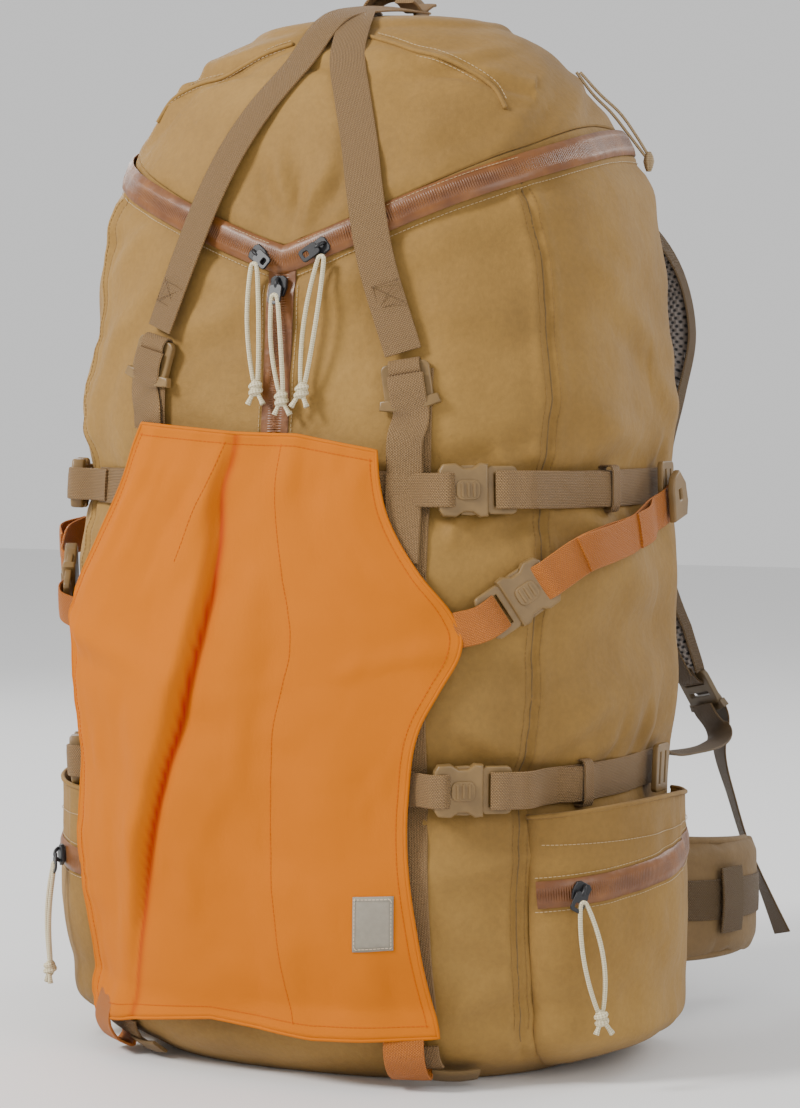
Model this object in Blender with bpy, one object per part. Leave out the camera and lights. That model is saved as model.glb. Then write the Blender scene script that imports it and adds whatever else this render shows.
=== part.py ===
"""Hunting backpack with a folding front panel, harness and hip belt. Metres, +Z up, front facing -Y."""

import math

import bmesh
import bpy
import numpy as np
from mathutils import Matrix, Vector

# Bag outline by height: z, half width, front depth, back depth, front and back roundness exponents
BAG_STATIONS = np.array(
    [
        (0.000, 0.158, 0.130, 0.088, 2.4, 4.0),
        (0.015, 0.178, 0.152, 0.094, 2.5, 4.5),
        (0.060, 0.190, 0.166, 0.098, 2.6, 5.0),
        (0.180, 0.200, 0.176, 0.100, 2.6, 5.0),
        (0.300, 0.204, 0.176, 0.100, 2.6, 5.0),
        (0.420, 0.202, 0.166, 0.100, 2.6, 5.0),
        (0.500, 0.200, 0.158, 0.100, 2.6, 5.0),
        (0.560, 0.195, 0.150, 0.098, 2.6, 5.0),
        (0.610, 0.183, 0.139, 0.094, 2.6, 4.5),
        (0.650, 0.166, 0.124, 0.088, 2.5, 4.0),
        (0.690, 0.136, 0.098, 0.072, 2.4, 3.4),
        (0.715, 0.100, 0.070, 0.054, 2.3, 3.0),
        (0.727, 0.064, 0.044, 0.036, 2.2, 2.6),
        (0.731, 0.020, 0.014, 0.012, 2.1, 2.2),
    ]
)
BAG_HEIGHT = 0.731
BAG_MIDDLE_Y = 0.027
FABRIC = 0.003
COLUMNS = 40
HALF_GIRTH = 0.55

RIM_FRONT = 0.562
RIM_RISE = 0.086
RIM_RUN = 0.30
LID_GAP = 0.0008

ZIP_TAPE = 0.019
ZIP_THICK = 0.0010
ZIP_OFFSET = 0.0017
CENTRE_ZIP_WIDTH = 0.017
CENTRE_ZIP_BOTTOM = 0.034

WEBBING = 0.025
WEBBING_THICK = 0.0016
CLEAR = 0.0004

PANEL_THICK = 0.0018
PANEL_OFFSET = 0.0062
PANEL_RIGHT = [
    (0.432, 0.072),
    (0.385, 0.080),
    (0.343, 0.104),
    (0.312, 0.124),
    (0.294, 0.126),
    (0.249, 0.106),
    (0.194, 0.095),
    (0.098, 0.099),
    (0.040, 0.108),
]
PANEL_LEFT = [
    (0.432, -0.100),
    (0.395, -0.122),
    (0.353, -0.150),
    (0.303, -0.180),
    (0.245, -0.172),
    (0.194, -0.168),
    (0.143, -0.167),
    (0.040, -0.164),
]
PANEL_HINGE = (0.0, -0.135, 0.030)

COMPRESSION_UPPER = 0.400
COMPRESSION_LOWER = 0.204
BUCKLE_LENGTH = 0.029
BUCKLE_WIDTH = 0.032
BUCKLE_THICK = 0.009
PLUG_TRAVEL = 0.014

POCKET_FRONT = 0.178
POCKET_BACK = 0.372
POCKET_TOP = 0.178
POCKET_DEPTH = 0.030
POCKET_WALL = 0.0025
POCKET_GAP = 0.0026

LID_HINGE = (0.0, 0.1155, 0.650)
HARNESS_HINGE = (0.0, 0.156, 0.585)
PAD_WIDTH = 0.062
PAD_THICK = 0.014
PAD_PATH = [
    (0.062, 0.163, 0.590),
    (0.074, 0.200, 0.606),
    (0.092, 0.245, 0.592),
    (0.108, 0.276, 0.555),
    (0.116, 0.283, 0.510),
    (0.115, 0.268, 0.465),
    (0.113, 0.251, 0.420),
    (0.115, 0.244, 0.370),
    (0.123, 0.248, 0.320),
    (0.136, 0.258, 0.280),
    (0.149, 0.268, 0.250),
]
BELT_HINGE_X = 0.128
BELT_HEIGHT = 0.100
BELT_THICK = 0.014
BELT_PATH = [
    (0.130, 0.141, 0.093),
    (0.158, 0.152, 0.092),
    (0.184, 0.176, 0.090),
    (0.199, 0.212, 0.088),
    (0.199, 0.250, 0.086),
    (0.186, 0.285, 0.084),
]
CORD = 0.0032


def clear_scene():
    for obj in list(bpy.data.objects):
        bpy.data.objects.remove(obj)


def curve_value(xs, ys, x):
    """Smooth curve through the points (xs, ys), read at x."""
    i = int(np.clip(np.searchsorted(xs, x) - 1, 0, len(xs) - 2))
    h = xs[i + 1] - xs[i]
    t = (x - xs[i]) / h
    slopes = np.gradient(ys, xs)
    h00 = 2 * t**3 - 3 * t**2 + 1
    h10 = t**3 - 2 * t**2 + t
    h01 = -2 * t**3 + 3 * t**2
    h11 = t**3 - t**2
    return h00 * ys[i] + h10 * h * slopes[i] + h01 * ys[i + 1] + h11 * h * slopes[i + 1]


def station(z):
    return [curve_value(BAG_STATIONS[:, 0], BAG_STATIONS[:, k], z) for k in range(1, 6)]


SECTION_ANGLES = np.linspace(-math.pi, math.pi, 361)
SECTION_CACHE = {}


def section(z):
    """Points of the bag outline at height z and their distance along it from the front middle."""
    key = round(z, 5)
    if key in SECTION_CACHE:
        return SECTION_CACHE[key]
    a, front, back, n, m = station(z)
    s = np.sin(SECTION_ANGLES)
    c = np.cos(SECTION_ANGLES)
    power = np.where(c >= 0, 2 / n, 2 / m)
    x = a * np.sign(s) * np.abs(s) ** power
    y = BAG_MIDDLE_Y + np.where(c >= 0, -front, back) * np.abs(c) ** power
    points = np.stack([x, y], -1)
    steps = np.linalg.norm(np.diff(points, axis=0), axis=1)
    arc = np.concatenate([[0], np.cumsum(steps)])
    arc -= arc[180]
    SECTION_CACHE[key] = (points, arc)
    return SECTION_CACHE[key]


def skin(arc, z):
    points, arcs = section(z)
    x = np.interp(arc, arcs, points[:, 0])
    y = np.interp(arc, arcs, points[:, 1])
    return Vector((x, y, z))


def outward(arc, z):
    step = 0.002
    along = skin(arc + step, z) - skin(arc - step, z)
    low = max(z - step, 0.0)
    high = min(z + step, BAG_HEIGHT)
    share = arc / section(z)[1][-1]
    up = skin(share * section(high)[1][-1], high) - skin(share * section(low)[1][-1], low)
    return along.cross(up).normalized()


def at(arc, z, off=0.0):
    """Point on the bag, arc metres round from the front middle, off metres proud of the fabric."""
    return skin(arc, z) + outward(arc, z) * off


def beside(arc, z, off):
    """Like at, but proud of the fabric in the horizontal direction alone."""
    normal = outward(arc, z)
    normal.z = 0
    return skin(arc, z) + normal.normalized() * off


def side_frame(arc, z, off, tilt=0.0):
    """Axes at a point of the bag: X along the girth, Y up the bag, Z outward."""
    normal = outward(arc, z)
    along = (skin(arc + 0.004, z) - skin(arc - 0.004, z)).normalized()
    up = normal.cross(along).normalized()
    along = up.cross(normal).normalized()
    turned = Matrix.Rotation(tilt, 3, normal)
    along = turned @ along
    up = turned @ up
    rows = Matrix((along, up, normal)).transposed().to_4x4()
    rows.translation = skin(arc, z) + normal * off
    return rows


def level(x, y):
    """Height of the bag's top at (x, y)."""
    low, high = 0.56, BAG_HEIGHT - 0.0002
    for _ in range(40):
        z = (low + high) / 2
        a, front, back, n, m = station(z)
        dy = y - BAG_MIDDLE_Y
        depth, power = (front, n) if dy < 0 else (back, m)
        inside = (abs(x) / a) ** power + (abs(dy) / depth) ** power < 1
        low, high = (z, high) if inside else (low, z)
    return low


def top_at(x, y, off):
    step = 0.003
    dx = (level(x + step, y) - level(x - step, y)) / (2 * step)
    dy = (level(x, y + step) - level(x, y - step)) / (2 * step)
    normal = Vector((-dx, -dy, 1)).normalized()
    return Vector((x, y, level(x, y))) + normal * off


def rim(arc):
    """Height of the bag's mouth: a V at the front, level at the back."""
    share = min(1.0, abs(arc) / RIM_RUN)
    return RIM_FRONT + RIM_RISE * math.sin(share * math.pi / 2) ** 1.15


MATERIALS = {}


def material(name, colour, roughness=0.8, metallic=0.0):
    made = bpy.data.materials.new(name)
    made.use_nodes = True
    shader = made.node_tree.nodes["Principled BSDF"]
    shader.inputs["Base Color"].default_value = (*colour, 1)
    shader.inputs["Roughness"].default_value = roughness
    shader.inputs["Metallic"].default_value = metallic
    made.diffuse_color = (*colour, 1)
    return made


COLOURS = {
    "fabric": (0.42, 0.27, 0.12),
    "webbing": (0.40, 0.25, 0.13),
    "plastic": (0.25, 0.17, 0.07),
    "zip": (0.36, 0.13, 0.05),
    "black": (0.02, 0.02, 0.02),
    "orange": (1.0, 0.36, 0.0),
    "cord": (0.66, 0.55, 0.33),
    "mesh": (0.17, 0.14, 0.12),
    "belt": (0.30, 0.20, 0.08),
    "frame": (0.08, 0.08, 0.08),
}


def finish(name, bm, kind, origin=None, smooth=True):
    """Turns the bmesh into a named object with its own material and its origin on the joint axis."""
    bmesh.ops.recalc_face_normals(bm, faces=bm.faces)
    mesh = bpy.data.meshes.new(name)
    bm.to_mesh(mesh)
    bm.free()
    obj = bpy.data.objects.new(name, mesh)
    bpy.context.scene.collection.objects.link(obj)
    mesh.materials.append(material(name + "_material", COLOURS[kind], 0.45 if kind in "plastic black" else 0.85))
    if origin is not None:
        mesh.transform(Matrix.Translation(-Vector(origin)))
        obj.location = origin
    if smooth:
        mesh.shade_smooth()
        mesh.set_sharp_from_angle(angle=math.radians(40))
    return obj


def ring_faces(bm, first, second, closed=True):
    count = len(first)
    for i in range(count if closed else count - 1):
        j = (i + 1) % count
        bm.faces.new((first[i], first[j], second[j], second[i]))


def add_ring(bm, points):
    return [bm.verts.new(point) for point in points]


def fan(bm, ring, centre):
    middle = bm.verts.new(centre)
    for i in range(len(ring)):
        bm.faces.new((ring[i], ring[(i + 1) % len(ring)], middle))


def middle_of(points):
    total = Vector((0, 0, 0))
    for point in points:
        total += point
    return total / len(points)


def vessel(outer, inner):
    """Cup with a wall: outer rings from the floor up, inner rings from the mouth down."""
    bm = bmesh.new()
    rings = [add_ring(bm, ring) for ring in outer + inner]
    for first, second in zip(rings[:-1], rings[1:]):
        ring_faces(bm, first, second)
    fan(bm, rings[0], middle_of(outer[0]))
    fan(bm, rings[-1], middle_of(inner[-1]))
    return bm


def strip_cap(bm, ring):
    """Closes a crescent ring by joining its outer run to its inner run."""
    count = len(ring)
    half = count // 2
    bm.faces.new((ring[0], ring[1], ring[-1]))
    for i in range(1, half - 1):
        bm.faces.new((ring[i], ring[i + 1], ring[count - i - 1], ring[count - i]))
    bm.faces.new((ring[half - 1], ring[half], ring[half + 1]))


def crescent_vessel(outer, inner):
    bm = bmesh.new()
    rings = [add_ring(bm, ring) for ring in outer + inner]
    for first, second in zip(rings[:-1], rings[1:]):
        ring_faces(bm, first, second)
    strip_cap(bm, rings[0])
    strip_cap(bm, rings[-1])
    return bm


def spread(count):
    return [-1 + 2 * i / count for i in range(count)]


def bag_ring(share_up, off, lift):
    points = []
    for w in spread(COLUMNS):
        arc = w * HALF_GIRTH
        z = lift + (rim(arc) - lift) * share_up
        real = w * section(z)[1][-1]
        points.append(at(real, z, off))
    return points


def make_bag():
    shares = [0.0, 0.015, 0.05, 0.11, 0.2, 0.32, 0.45, 0.58, 0.7, 0.82, 0.92, 1.0]
    outer = [bag_ring(t, 0, 0.0) for t in shares]
    inner = [bag_ring(t, -FABRIC, 0.003) for t in reversed(shares)]
    return finish("bag_shell", vessel(outer, inner), "fabric")


def lid_ring(share_up, off):
    points = []
    for w in spread(COLUMNS):
        arc = w * HALF_GIRTH
        low = rim(arc) + LID_GAP
        z = low + (BAG_HEIGHT - 0.0004 - low) * share_up
        real = w * section(z)[1][-1]
        points.append(at(real, z, off))
    return points


def make_lid():
    shares = [0.0, 0.12, 0.28, 0.46, 0.63, 0.78, 0.88, 0.95, 0.985]
    outer = [lid_ring(t, 0) for t in shares]
    inner = [lid_ring(t, -FABRIC) for t in shares]
    bm = bmesh.new()
    outside = [add_ring(bm, ring) for ring in outer]
    inside = [add_ring(bm, ring) for ring in inner]
    for rings in (outside, inside):
        for first, second in zip(rings[:-1], rings[1:]):
            ring_faces(bm, first, second)
        fan(bm, rings[-1], middle_of([v.co for v in rings[-1]]))
    ring_faces(bm, outside[0], inside[0])
    return finish("top_lid", bm, "fabric", LID_HINGE)


def smooth_path(points, count):
    """Evenly spread points on a smooth curve through the given ones."""
    data = np.array([list(p) for p in points])
    steps = np.linalg.norm(np.diff(data, axis=0), axis=1)
    along = np.concatenate([[0], np.cumsum(steps)])
    places = np.linspace(0, along[-1], count)
    found = [[curve_value(along, data[:, k], t) for k in range(3)] for t in places]
    return [Vector(f) for f in found]


def tangents_of(points):
    found = []
    for i in range(len(points)):
        before = points[max(i - 1, 0)]
        after = points[min(i + 1, len(points) - 1)]
        found.append((after - before).normalized())
    return found


def band(points, normals, width, thick, corner=0.0):
    """Flat strip centred on the points, its thickness standing outward along the normals."""
    bm = bmesh.new()
    rings = []
    widths = width if isinstance(width, list) else [width] * len(points)
    for point, normal, tangent, wide in zip(points, normals, tangents_of(points), widths):
        side = normal.cross(tangent).normalized()
        up = tangent.cross(side).normalized()
        half = wide / 2
        if corner:
            profile = [
                (-half, corner),
                (-half + corner, 0),
                (half - corner, 0),
                (half, corner),
                (half, thick - corner),
                (half - corner, thick),
                (-half + corner, thick),
                (-half, thick - corner),
            ]
        else:
            profile = [(-half, 0), (half, 0), (half, thick), (-half, thick)]
        rings.append(add_ring(bm, [point + side * u + up * v for u, v in profile]))
    for first, second in zip(rings[:-1], rings[1:]):
        ring_faces(bm, first, second)
    bm.faces.new(rings[0])
    bm.faces.new(rings[-1])
    return bm


def girth_band(name, places, off, width, thick, kind, count=12):
    """Strip lying on the bag through the given (arc, z) or (arc, z, off) places."""
    places = [(*place, off) if len(place) == 2 else place for place in places]
    data = np.array(places)
    steps = np.linalg.norm(np.diff(data[:, :2], axis=0), axis=1)
    along = np.concatenate([[0], np.cumsum(steps)])
    points = []
    normals = []
    for t in np.linspace(0, along[-1], count):
        arc, z, proud = [curve_value(along, data[:, k], t) for k in range(3)]
        points.append(at(arc, z, proud))
        normals.append(outward(arc, z))
    return finish(name, band(points, normals, width, thick), kind)


def make_main_zip():
    """Y-shaped tape: two arms under the mouth of the bag and one down the front."""
    bm = bmesh.new()
    half = CENTRE_ZIP_WIDTH / 2
    arms = [half] + [0.020 + 0.0125 * k for k in range(27)]
    columns = [-a for a in reversed(arms)] + arms
    top = {}
    low = {}
    for arc in columns:
        z = rim(arc) - 0.0006
        slope = math.hypot(1, (rim(arc + 0.004) - rim(arc - 0.004)) / 0.008)
        top[arc] = [bm.verts.new(at(arc, z, ZIP_OFFSET + t)) for t in (0, ZIP_THICK)]
        bottom = z - ZIP_TAPE * slope
        low[arc] = [bm.verts.new(at(arc, bottom, ZIP_OFFSET + t)) for t in (0, ZIP_THICK)]
    for left, right in zip(columns[:-1], columns[1:]):
        for k in (0, 1):
            bm.faces.new((top[left][k], top[right][k], low[right][k], low[left][k]))
        bm.faces.new((top[left][0], top[right][0], top[right][1], top[left][1]))
        if (left, right) != (-half, half):
            bm.faces.new((low[left][0], low[right][0], low[right][1], low[left][1]))
    for arc in (columns[0], columns[-1]):
        bm.faces.new((top[arc][0], top[arc][1], low[arc][1], low[arc][0]))
    before = [low[-half], low[half]]
    for z in np.linspace(RIM_FRONT - 0.05, CENTRE_ZIP_BOTTOM, 22):
        now = []
        for arc in (-half, half):
            now.append([bm.verts.new(at(arc, float(z), ZIP_OFFSET + t)) for t in (0, ZIP_THICK)])
        for k in (0, 1):
            bm.faces.new((before[0][k], before[1][k], now[1][k], now[0][k]))
        for side in (0, 1):
            bm.faces.new((before[side][0], before[side][1], now[side][1], now[side][0]))
        before = now
    bm.faces.new((before[0][0], before[1][0], before[1][1], before[0][1]))
    return finish("main_zip", bm, "zip")


def box_bmesh(size, centre=(0, 0, 0), bevel=0.0):
    bm = bmesh.new()
    bmesh.ops.create_cube(bm, size=1)
    bmesh.ops.scale(bm, vec=size, verts=bm.verts)
    bmesh.ops.translate(bm, vec=centre, verts=bm.verts)
    if bevel:
        bmesh.ops.bevel(bm, geom=bm.edges, offset=bevel, segments=1, affect="EDGES", clamp_overlap=True)
    return bm


def cutter(name, bm, matrix):
    bmesh.ops.recalc_face_normals(bm, faces=bm.faces)
    mesh = bpy.data.meshes.new(name)
    bm.to_mesh(mesh)
    bm.free()
    obj = bpy.data.objects.new(name, mesh)
    bpy.context.scene.collection.objects.link(obj)
    obj.matrix_world = matrix
    obj.hide_render = True
    obj.display_type = "WIRE"
    return obj


def cut(obj, pieces, matrix, operation="DIFFERENCE"):
    for i, bm in enumerate(pieces):
        tool = cutter(f"{obj.name}_tool_{operation.lower()}_{i}", bm, matrix)
        modifier = obj.modifiers.new(f"{operation.lower()}_{i}", "BOOLEAN")
        modifier.operation = operation
        modifier.solver = "EXACT"
        modifier.object = tool
        modifier.show_render = modifier.show_viewport


def place(name, bm, kind, matrix, smooth=False):
    obj = finish(name, bm, kind, None, smooth)
    obj.matrix_world = matrix
    return obj


def slider(name, matrix, eye_down=-1):
    """Zip slider: a rounded block with a bridge whose slot takes the pull cord."""
    body = box_bmesh((0.010, 0.014, 0.0034), (0, 0, 0.0017), 0.0008)
    obj = place(name, body, "black", matrix)
    bridge = box_bmesh((0.0052, 0.011, 0.0046), (0, 0, 0.0050))
    cut(obj, [bridge], matrix, "UNION")
    slot = box_bmesh((0.02, 0.0062, 0.0026), (0, 0, 0.0050))
    cut(obj, [slot], matrix)
    return obj


def cord_loop(name, start, down, side, length, sway=0.0):
    """Pull cord: a closed loop of thin cord, thicker where it is knotted at the end."""
    data = bpy.data.curves.new(name, "CURVE")
    data.dimensions = "3D"
    data.bevel_depth = CORD / 2
    data.bevel_resolution = 2
    data.use_fill_caps = True
    steps = 9
    path = []
    for i in range(steps):
        t = i / (steps - 1)
        spread_out = 0.0026 + 0.0016 * math.sin(math.pi * t)
        path.append((start + down * (length * t) + side * (-spread_out + sway * t), t))
    for i in range(steps):
        t = 1 - i / (steps - 1)
        spread_out = 0.0026 + 0.0016 * math.sin(math.pi * t)
        path.append((start + down * (length * t) + side * (spread_out + sway * t), t))
    line = data.splines.new("POLY")
    line.points.add(len(path) - 1)
    for point, (place_at, t) in zip(line.points, path):
        point.co = (*place_at, 1)
        point.radius = 1.45 if t > 0.93 else 1.0
    line.use_cyclic_u = True
    obj = bpy.data.objects.new(name, data)
    bpy.context.scene.collection.objects.link(obj)
    data.materials.append(material(name + "_material", COLOURS["cord"]))
    return obj


def make_sliders():
    spots = {"left": (-0.017, 0.0), "middle": (0.0, 0.0), "right": (0.028, 0.0)}
    for key, (arc, _) in spots.items():
        z = 0.535 if key == "middle" else rim(arc) - 0.0115
        lift = 0.0006 if key == "middle" else 0.0
        frame = side_frame(arc, z, ZIP_OFFSET + ZIP_THICK + CLEAR + lift)
        slider("zip_slider_" + key, frame)
        start = frame @ Vector((0, 0.0, 0.0098))
        down = (at(arc * 0.7, z - 0.07, 0.0106) - start).normalized()
        cord_loop("zip_cord_" + key, start, down, Vector((1, 0, 0)), 0.078 if key == "middle" else 0.088)


def pocket_bulge(q, z, depth):
    upper = min(1.0, max(0.0, z / 0.03))
    top = 1 - 0.25 * max(0.0, (z - 0.10) / 0.08)
    return depth * (math.sin(math.pi * q) ** 0.55) * (0.55 + 0.45 * upper) * top


def pocket_point(sign, q, z, extra, inset=0.0):
    arc = POCKET_FRONT + inset + (POCKET_BACK - POCKET_FRONT - 2 * inset) * q
    return beside(sign * arc, z, POCKET_GAP + extra + pocket_bulge(q, z, POCKET_DEPTH))


def pocket_ring(sign, z, wall):
    outer = 12
    ring = []
    inset = 0.006 if wall else 0.0
    for i in range(outer + 1):
        q = i / outer
        proud = 0.0034 - wall if 0 < i < outer else 0.0020
        if wall and i in (0, outer):
            proud = 0.0012
        ring.append(pocket_point(sign, q, z, proud, inset))
    for i in range(outer - 1, 0, -1):
        q = i / outer
        arc = POCKET_FRONT + inset + (POCKET_BACK - POCKET_FRONT - 2 * inset) * q
        ring.append(beside(sign * arc, z, POCKET_GAP + (0.0010 if wall else 0)))
    return ring


def make_pocket(name, sign):
    heights = [0.010, 0.018, 0.032, 0.055, 0.085, 0.115, 0.145, 0.165, POCKET_TOP]
    outer = [pocket_ring(sign, z, 0) for z in heights]
    inner_heights = list(reversed([0.0130] + heights[1:]))
    inner = [pocket_ring(sign, z, POCKET_WALL) for z in inner_heights]
    return finish(name, crescent_vessel(outer, inner), "fabric")


def pocket_zip_z(q):
    return 0.132 + 0.020 * q


def make_pocket_zip(key, sign):
    points = []
    normals = []
    for i in range(12):
        q = 0.05 + 0.85 * i / 11
        z = pocket_zip_z(q)
        here = pocket_point(sign, q, z, 0.0042)
        along = pocket_point(sign, q + 0.02, z, 0.0042) - pocket_point(sign, q - 0.02, z, 0.0042)
        up = pocket_point(sign, q, z + 0.004, 0.0042) - pocket_point(sign, q, z - 0.004, 0.0042)
        normal = along.cross(up).normalized() * sign
        points.append(here)
        normals.append(normal)
    finish("pocket_zip_" + key, band(points, normals, 0.016, 0.001), "zip")
    q = 0.13
    z = pocket_zip_z(q)
    here = pocket_point(sign, q, z, 0.0042)
    along = (pocket_point(sign, q + 0.05, z, 0.0042) - pocket_point(sign, q - 0.05, z, 0.0042)).normalized()
    up = Vector((0, 0, 1))
    normal = (along.cross(up) * sign).normalized()
    rows = Matrix((up.cross(normal).normalized(), up, normal)).transposed().to_4x4()
    rows.translation = here + normal * 0.0028
    slider("pocket_slider_" + key, rows)
    start = rows @ Vector((0, 0, 0.0098))
    down = Vector((along.x * 0.16, along.y * 0.16, -1)).normalized()
    cord_loop("pocket_cord_" + key, start, down, rows.to_3x3() @ Vector((1, 0, 0)), 0.078)


def edge_arc(edge, z):
    data = np.array(sorted(edge))
    return curve_value(data[:, 0], data[:, 1], z)


def make_panel():
    bm = bmesh.new()
    rows = np.linspace(0.040, 0.432, 19)
    across = 14
    layers = []
    for off in (PANEL_OFFSET, PANEL_OFFSET + PANEL_THICK):
        grid = []
        for z in rows:
            left = edge_arc(PANEL_LEFT, z)
            right = edge_arc(PANEL_RIGHT, z)
            line = []
            for k in range(across + 1):
                arc = left + (right - left) * k / across
                line.append(bm.verts.new(at(arc, float(z), off)))
            grid.append(line)
        for low, high in zip(grid[:-1], grid[1:]):
            ring_faces(bm, low, high, closed=False)
        layers.append(grid)
    borders = []
    for grid in layers:
        border = list(grid[0])
        border += [line[-1] for line in grid[1:]]
        border += list(reversed(grid[-1]))[1:]
        border += [line[0] for line in reversed(grid[1:-1])]
        borders.append(border)
    ring_faces(bm, borders[0], borders[1])
    return finish("orange_panel", bm, "orange", PANEL_HINGE)


def buckle_pair(prefix, frame, kind="plastic"):
    """Side-release buckle along local X: the body on the left, the plug on its right."""
    length = BUCKLE_LENGTH
    body = box_bmesh((length, BUCKLE_WIDTH, BUCKLE_THICK), (-length / 2, 0, 0), 0.002)
    obj = place(prefix + "_body", body, kind, frame)
    mouth = box_bmesh((0.0205, 0.0246, 0.0052), (-0.0100, 0, 0))
    window = box_bmesh((0.0105, 0.05, 0.0040), (-0.0115, 0, 0))
    slot = box_bmesh((0.0034, 0.026, 0.02), (-0.0250, 0, 0))
    cut(obj, [mouth, window, slot], frame)
    plug = box_bmesh((0.019, 0.030, 0.0046), (0.0100, 0, 0), 0.0012)
    plug_obj = place(prefix + "_plug", plug, kind, frame)
    tongue = box_bmesh((0.016, 0.0056, 0.0034), (-0.0066, 0, 0))
    arms = [box_bmesh((0.0175, 0.0034, 0.0034), (-0.0074, side * 0.0096, 0)) for side in (-1, 1)]
    cut(plug_obj, [tongue] + arms, frame, "UNION")
    ladder = box_bmesh((0.0032, 0.0262, 0.02), (0.0140, 0, 0))
    cut(plug_obj, [ladder], frame)
    return obj, plug_obj


def strap_over_plug(name, frame, rest, kind, width=WEBBING, straight=0.030):
    """Strap that starts over the plug's ladder, runs straight along it, then follows the given points."""
    points = [frame @ Vector((x, 0, 0.0030)) for x in (0.009, 0.016, 0.023, straight)]
    normal = (frame.to_3x3() @ Vector((0, 0, 1))).normalized()
    normals = [normal] * len(points)
    for point, up in rest:
        points.append(point)
        normals.append(up)
    return finish(name, band(points, normals, width, WEBBING_THICK), kind)


def make_compression(key, side, z, buckle_arc, end_arc):
    """Buckle and strap on one side. side is 1 for the right (+X) and -1 for the left."""
    prefix = f"compression_{key}_{'right' if side > 0 else 'left'}"
    frame = side_frame(side * buckle_arc, z, 0.0078)
    if side < 0:
        frame = frame @ Matrix.Rotation(math.pi, 4, "Z")
    buckle_pair(prefix, frame)
    rest = []
    first = buckle_arc + 0.045
    for i in range(7):
        t = i / 6
        arc = side * (first + (end_arc - first) * t)
        off = 0.0022 + 0.0068 * (1 - t) ** 3
        rest.append((at(arc, z, off), outward(arc, z)))
    strap_over_plug(prefix + "_strap", frame, rest, "webbing")


def make_front_webs():
    for key, z in (("upper", COMPRESSION_UPPER), ("lower", COMPRESSION_LOWER)):
        right = 0.138 - BUCKLE_LENGTH + 0.006
        places = [(a, z) for a in np.linspace(-0.196 + BUCKLE_LENGTH - 0.006, right - 0.0075, 9)]
        girth_band("front_web_" + key, places, 0.0033, WEBBING, 0.0012, "webbing", 30)


def make_panel_side(key, side):
    """Short web sewn to the panel's tip, buckle and strap up to the frame edge."""
    tip = 0.118 if side > 0 else 0.172
    tilt = side * math.radians(33)
    frame = side_frame(side * (tip + 0.044), 0.326, 0.0142, tilt)
    if side < 0:
        frame = frame @ Matrix.Rotation(math.pi, 4, "Z")
    turned = frame @ Matrix.Rotation(math.pi, 4, "Z")
    length = BUCKLE_LENGTH
    body = box_bmesh((length, BUCKLE_WIDTH, BUCKLE_THICK), (-length / 2, 0, 0), 0.002)
    obj = place(f"panel_buckle_{key}_body", body, "plastic", turned)
    mouth = box_bmesh((0.0205, 0.0246, 0.0052), (-0.0100, 0, 0))
    window = box_bmesh((0.0105, 0.05, 0.0040), (-0.0115, 0, 0))
    slot = box_bmesh((0.0034, 0.026, 0.02), (-0.0250, 0, 0))
    cut(obj, [mouth, window, slot], turned)
    plug = box_bmesh((0.019, 0.030, 0.0046), (0.0100, 0, 0), 0.0012)
    plug_obj = place(f"panel_buckle_{key}_plug", plug, "plastic", turned)
    tongue = box_bmesh((0.016, 0.0056, 0.0034), (-0.0066, 0, 0))
    arms = [box_bmesh((0.0175, 0.0034, 0.0034), (-0.0074, s * 0.0096, 0)) for s in (-1, 1)]
    cut(plug_obj, [tongue] + arms, turned, "UNION")
    ladder = box_bmesh((0.0032, 0.0262, 0.02), (0.0140, 0, 0))
    cut(plug_obj, [ladder], turned)
    normal = (frame.to_3x3() @ Vector((0, 0, 1))).normalized()
    points = [frame @ Vector((x, 0, 0.0052)) for x in (0.014, 0.026, 0.038, 0.050)]
    normals = [normal] * 4
    start_arc = abs(tip) + 0.115
    for i in range(6):
        t = i / 5
        arc = side * (start_arc + (0.335 - start_arc) * t)
        z = 0.366 + 0.022 * t
        points.append(at(arc, z, 0.0125 - 0.002 * t))
        normals.append(outward(arc, z))
    finish(f"panel_strap_{key}", band(points, normals, WEBBING, WEBBING_THICK), "orange")


def make_panel_loops():
    for key, arc in (("left", -0.148), ("right", 0.092)):
        girth_band("panel_loop_" + key, [(arc, 0.0385), (arc, 0.024), (arc, 0.010)], 0.0052, 0.026, 0.0018, "orange", 5)


def make_front_straps():
    lanes = {
        "left": [(-0.0980, 0.4600), (-0.0990, 0.36), (-0.100, 0.24), (-0.100, 0.12), (-0.100, 0.034)],
        "right": [(0.0975, 0.4560), (0.0990, 0.36), (0.100, 0.24), (0.100, 0.12), (0.100, 0.034)],
    }
    for key, places in lanes.items():
        girth_band("front_strap_" + key, places, 0.0010, WEBBING, 0.0012, "webbing", 20)


def lid_strap(key, side, lanes):
    points = []
    for item in lanes:
        points.append(top_at(item[1], item[2], 0.0012) if item[0] == "top" else at(item[1], item[2], item[3]))
    path = smooth_path(points, 20)
    normals = []
    for point in path:
        if point.z > 0.66:
            spot = top_at(point.x, point.y, 1.0) - top_at(point.x, point.y, 0.0)
            normals.append(spot.normalized())
        else:
            points_at, arcs = section(point.z)
            nearest = int(np.argmin(np.hypot(points_at[:, 0] - point.x, points_at[:, 1] - point.y)))
            normals.append(outward(float(arcs[nearest]), point.z))
    return finish("lid_strap_" + key, band(path, normals, WEBBING, WEBBING_THICK), "webbing", LID_HINGE)


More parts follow.
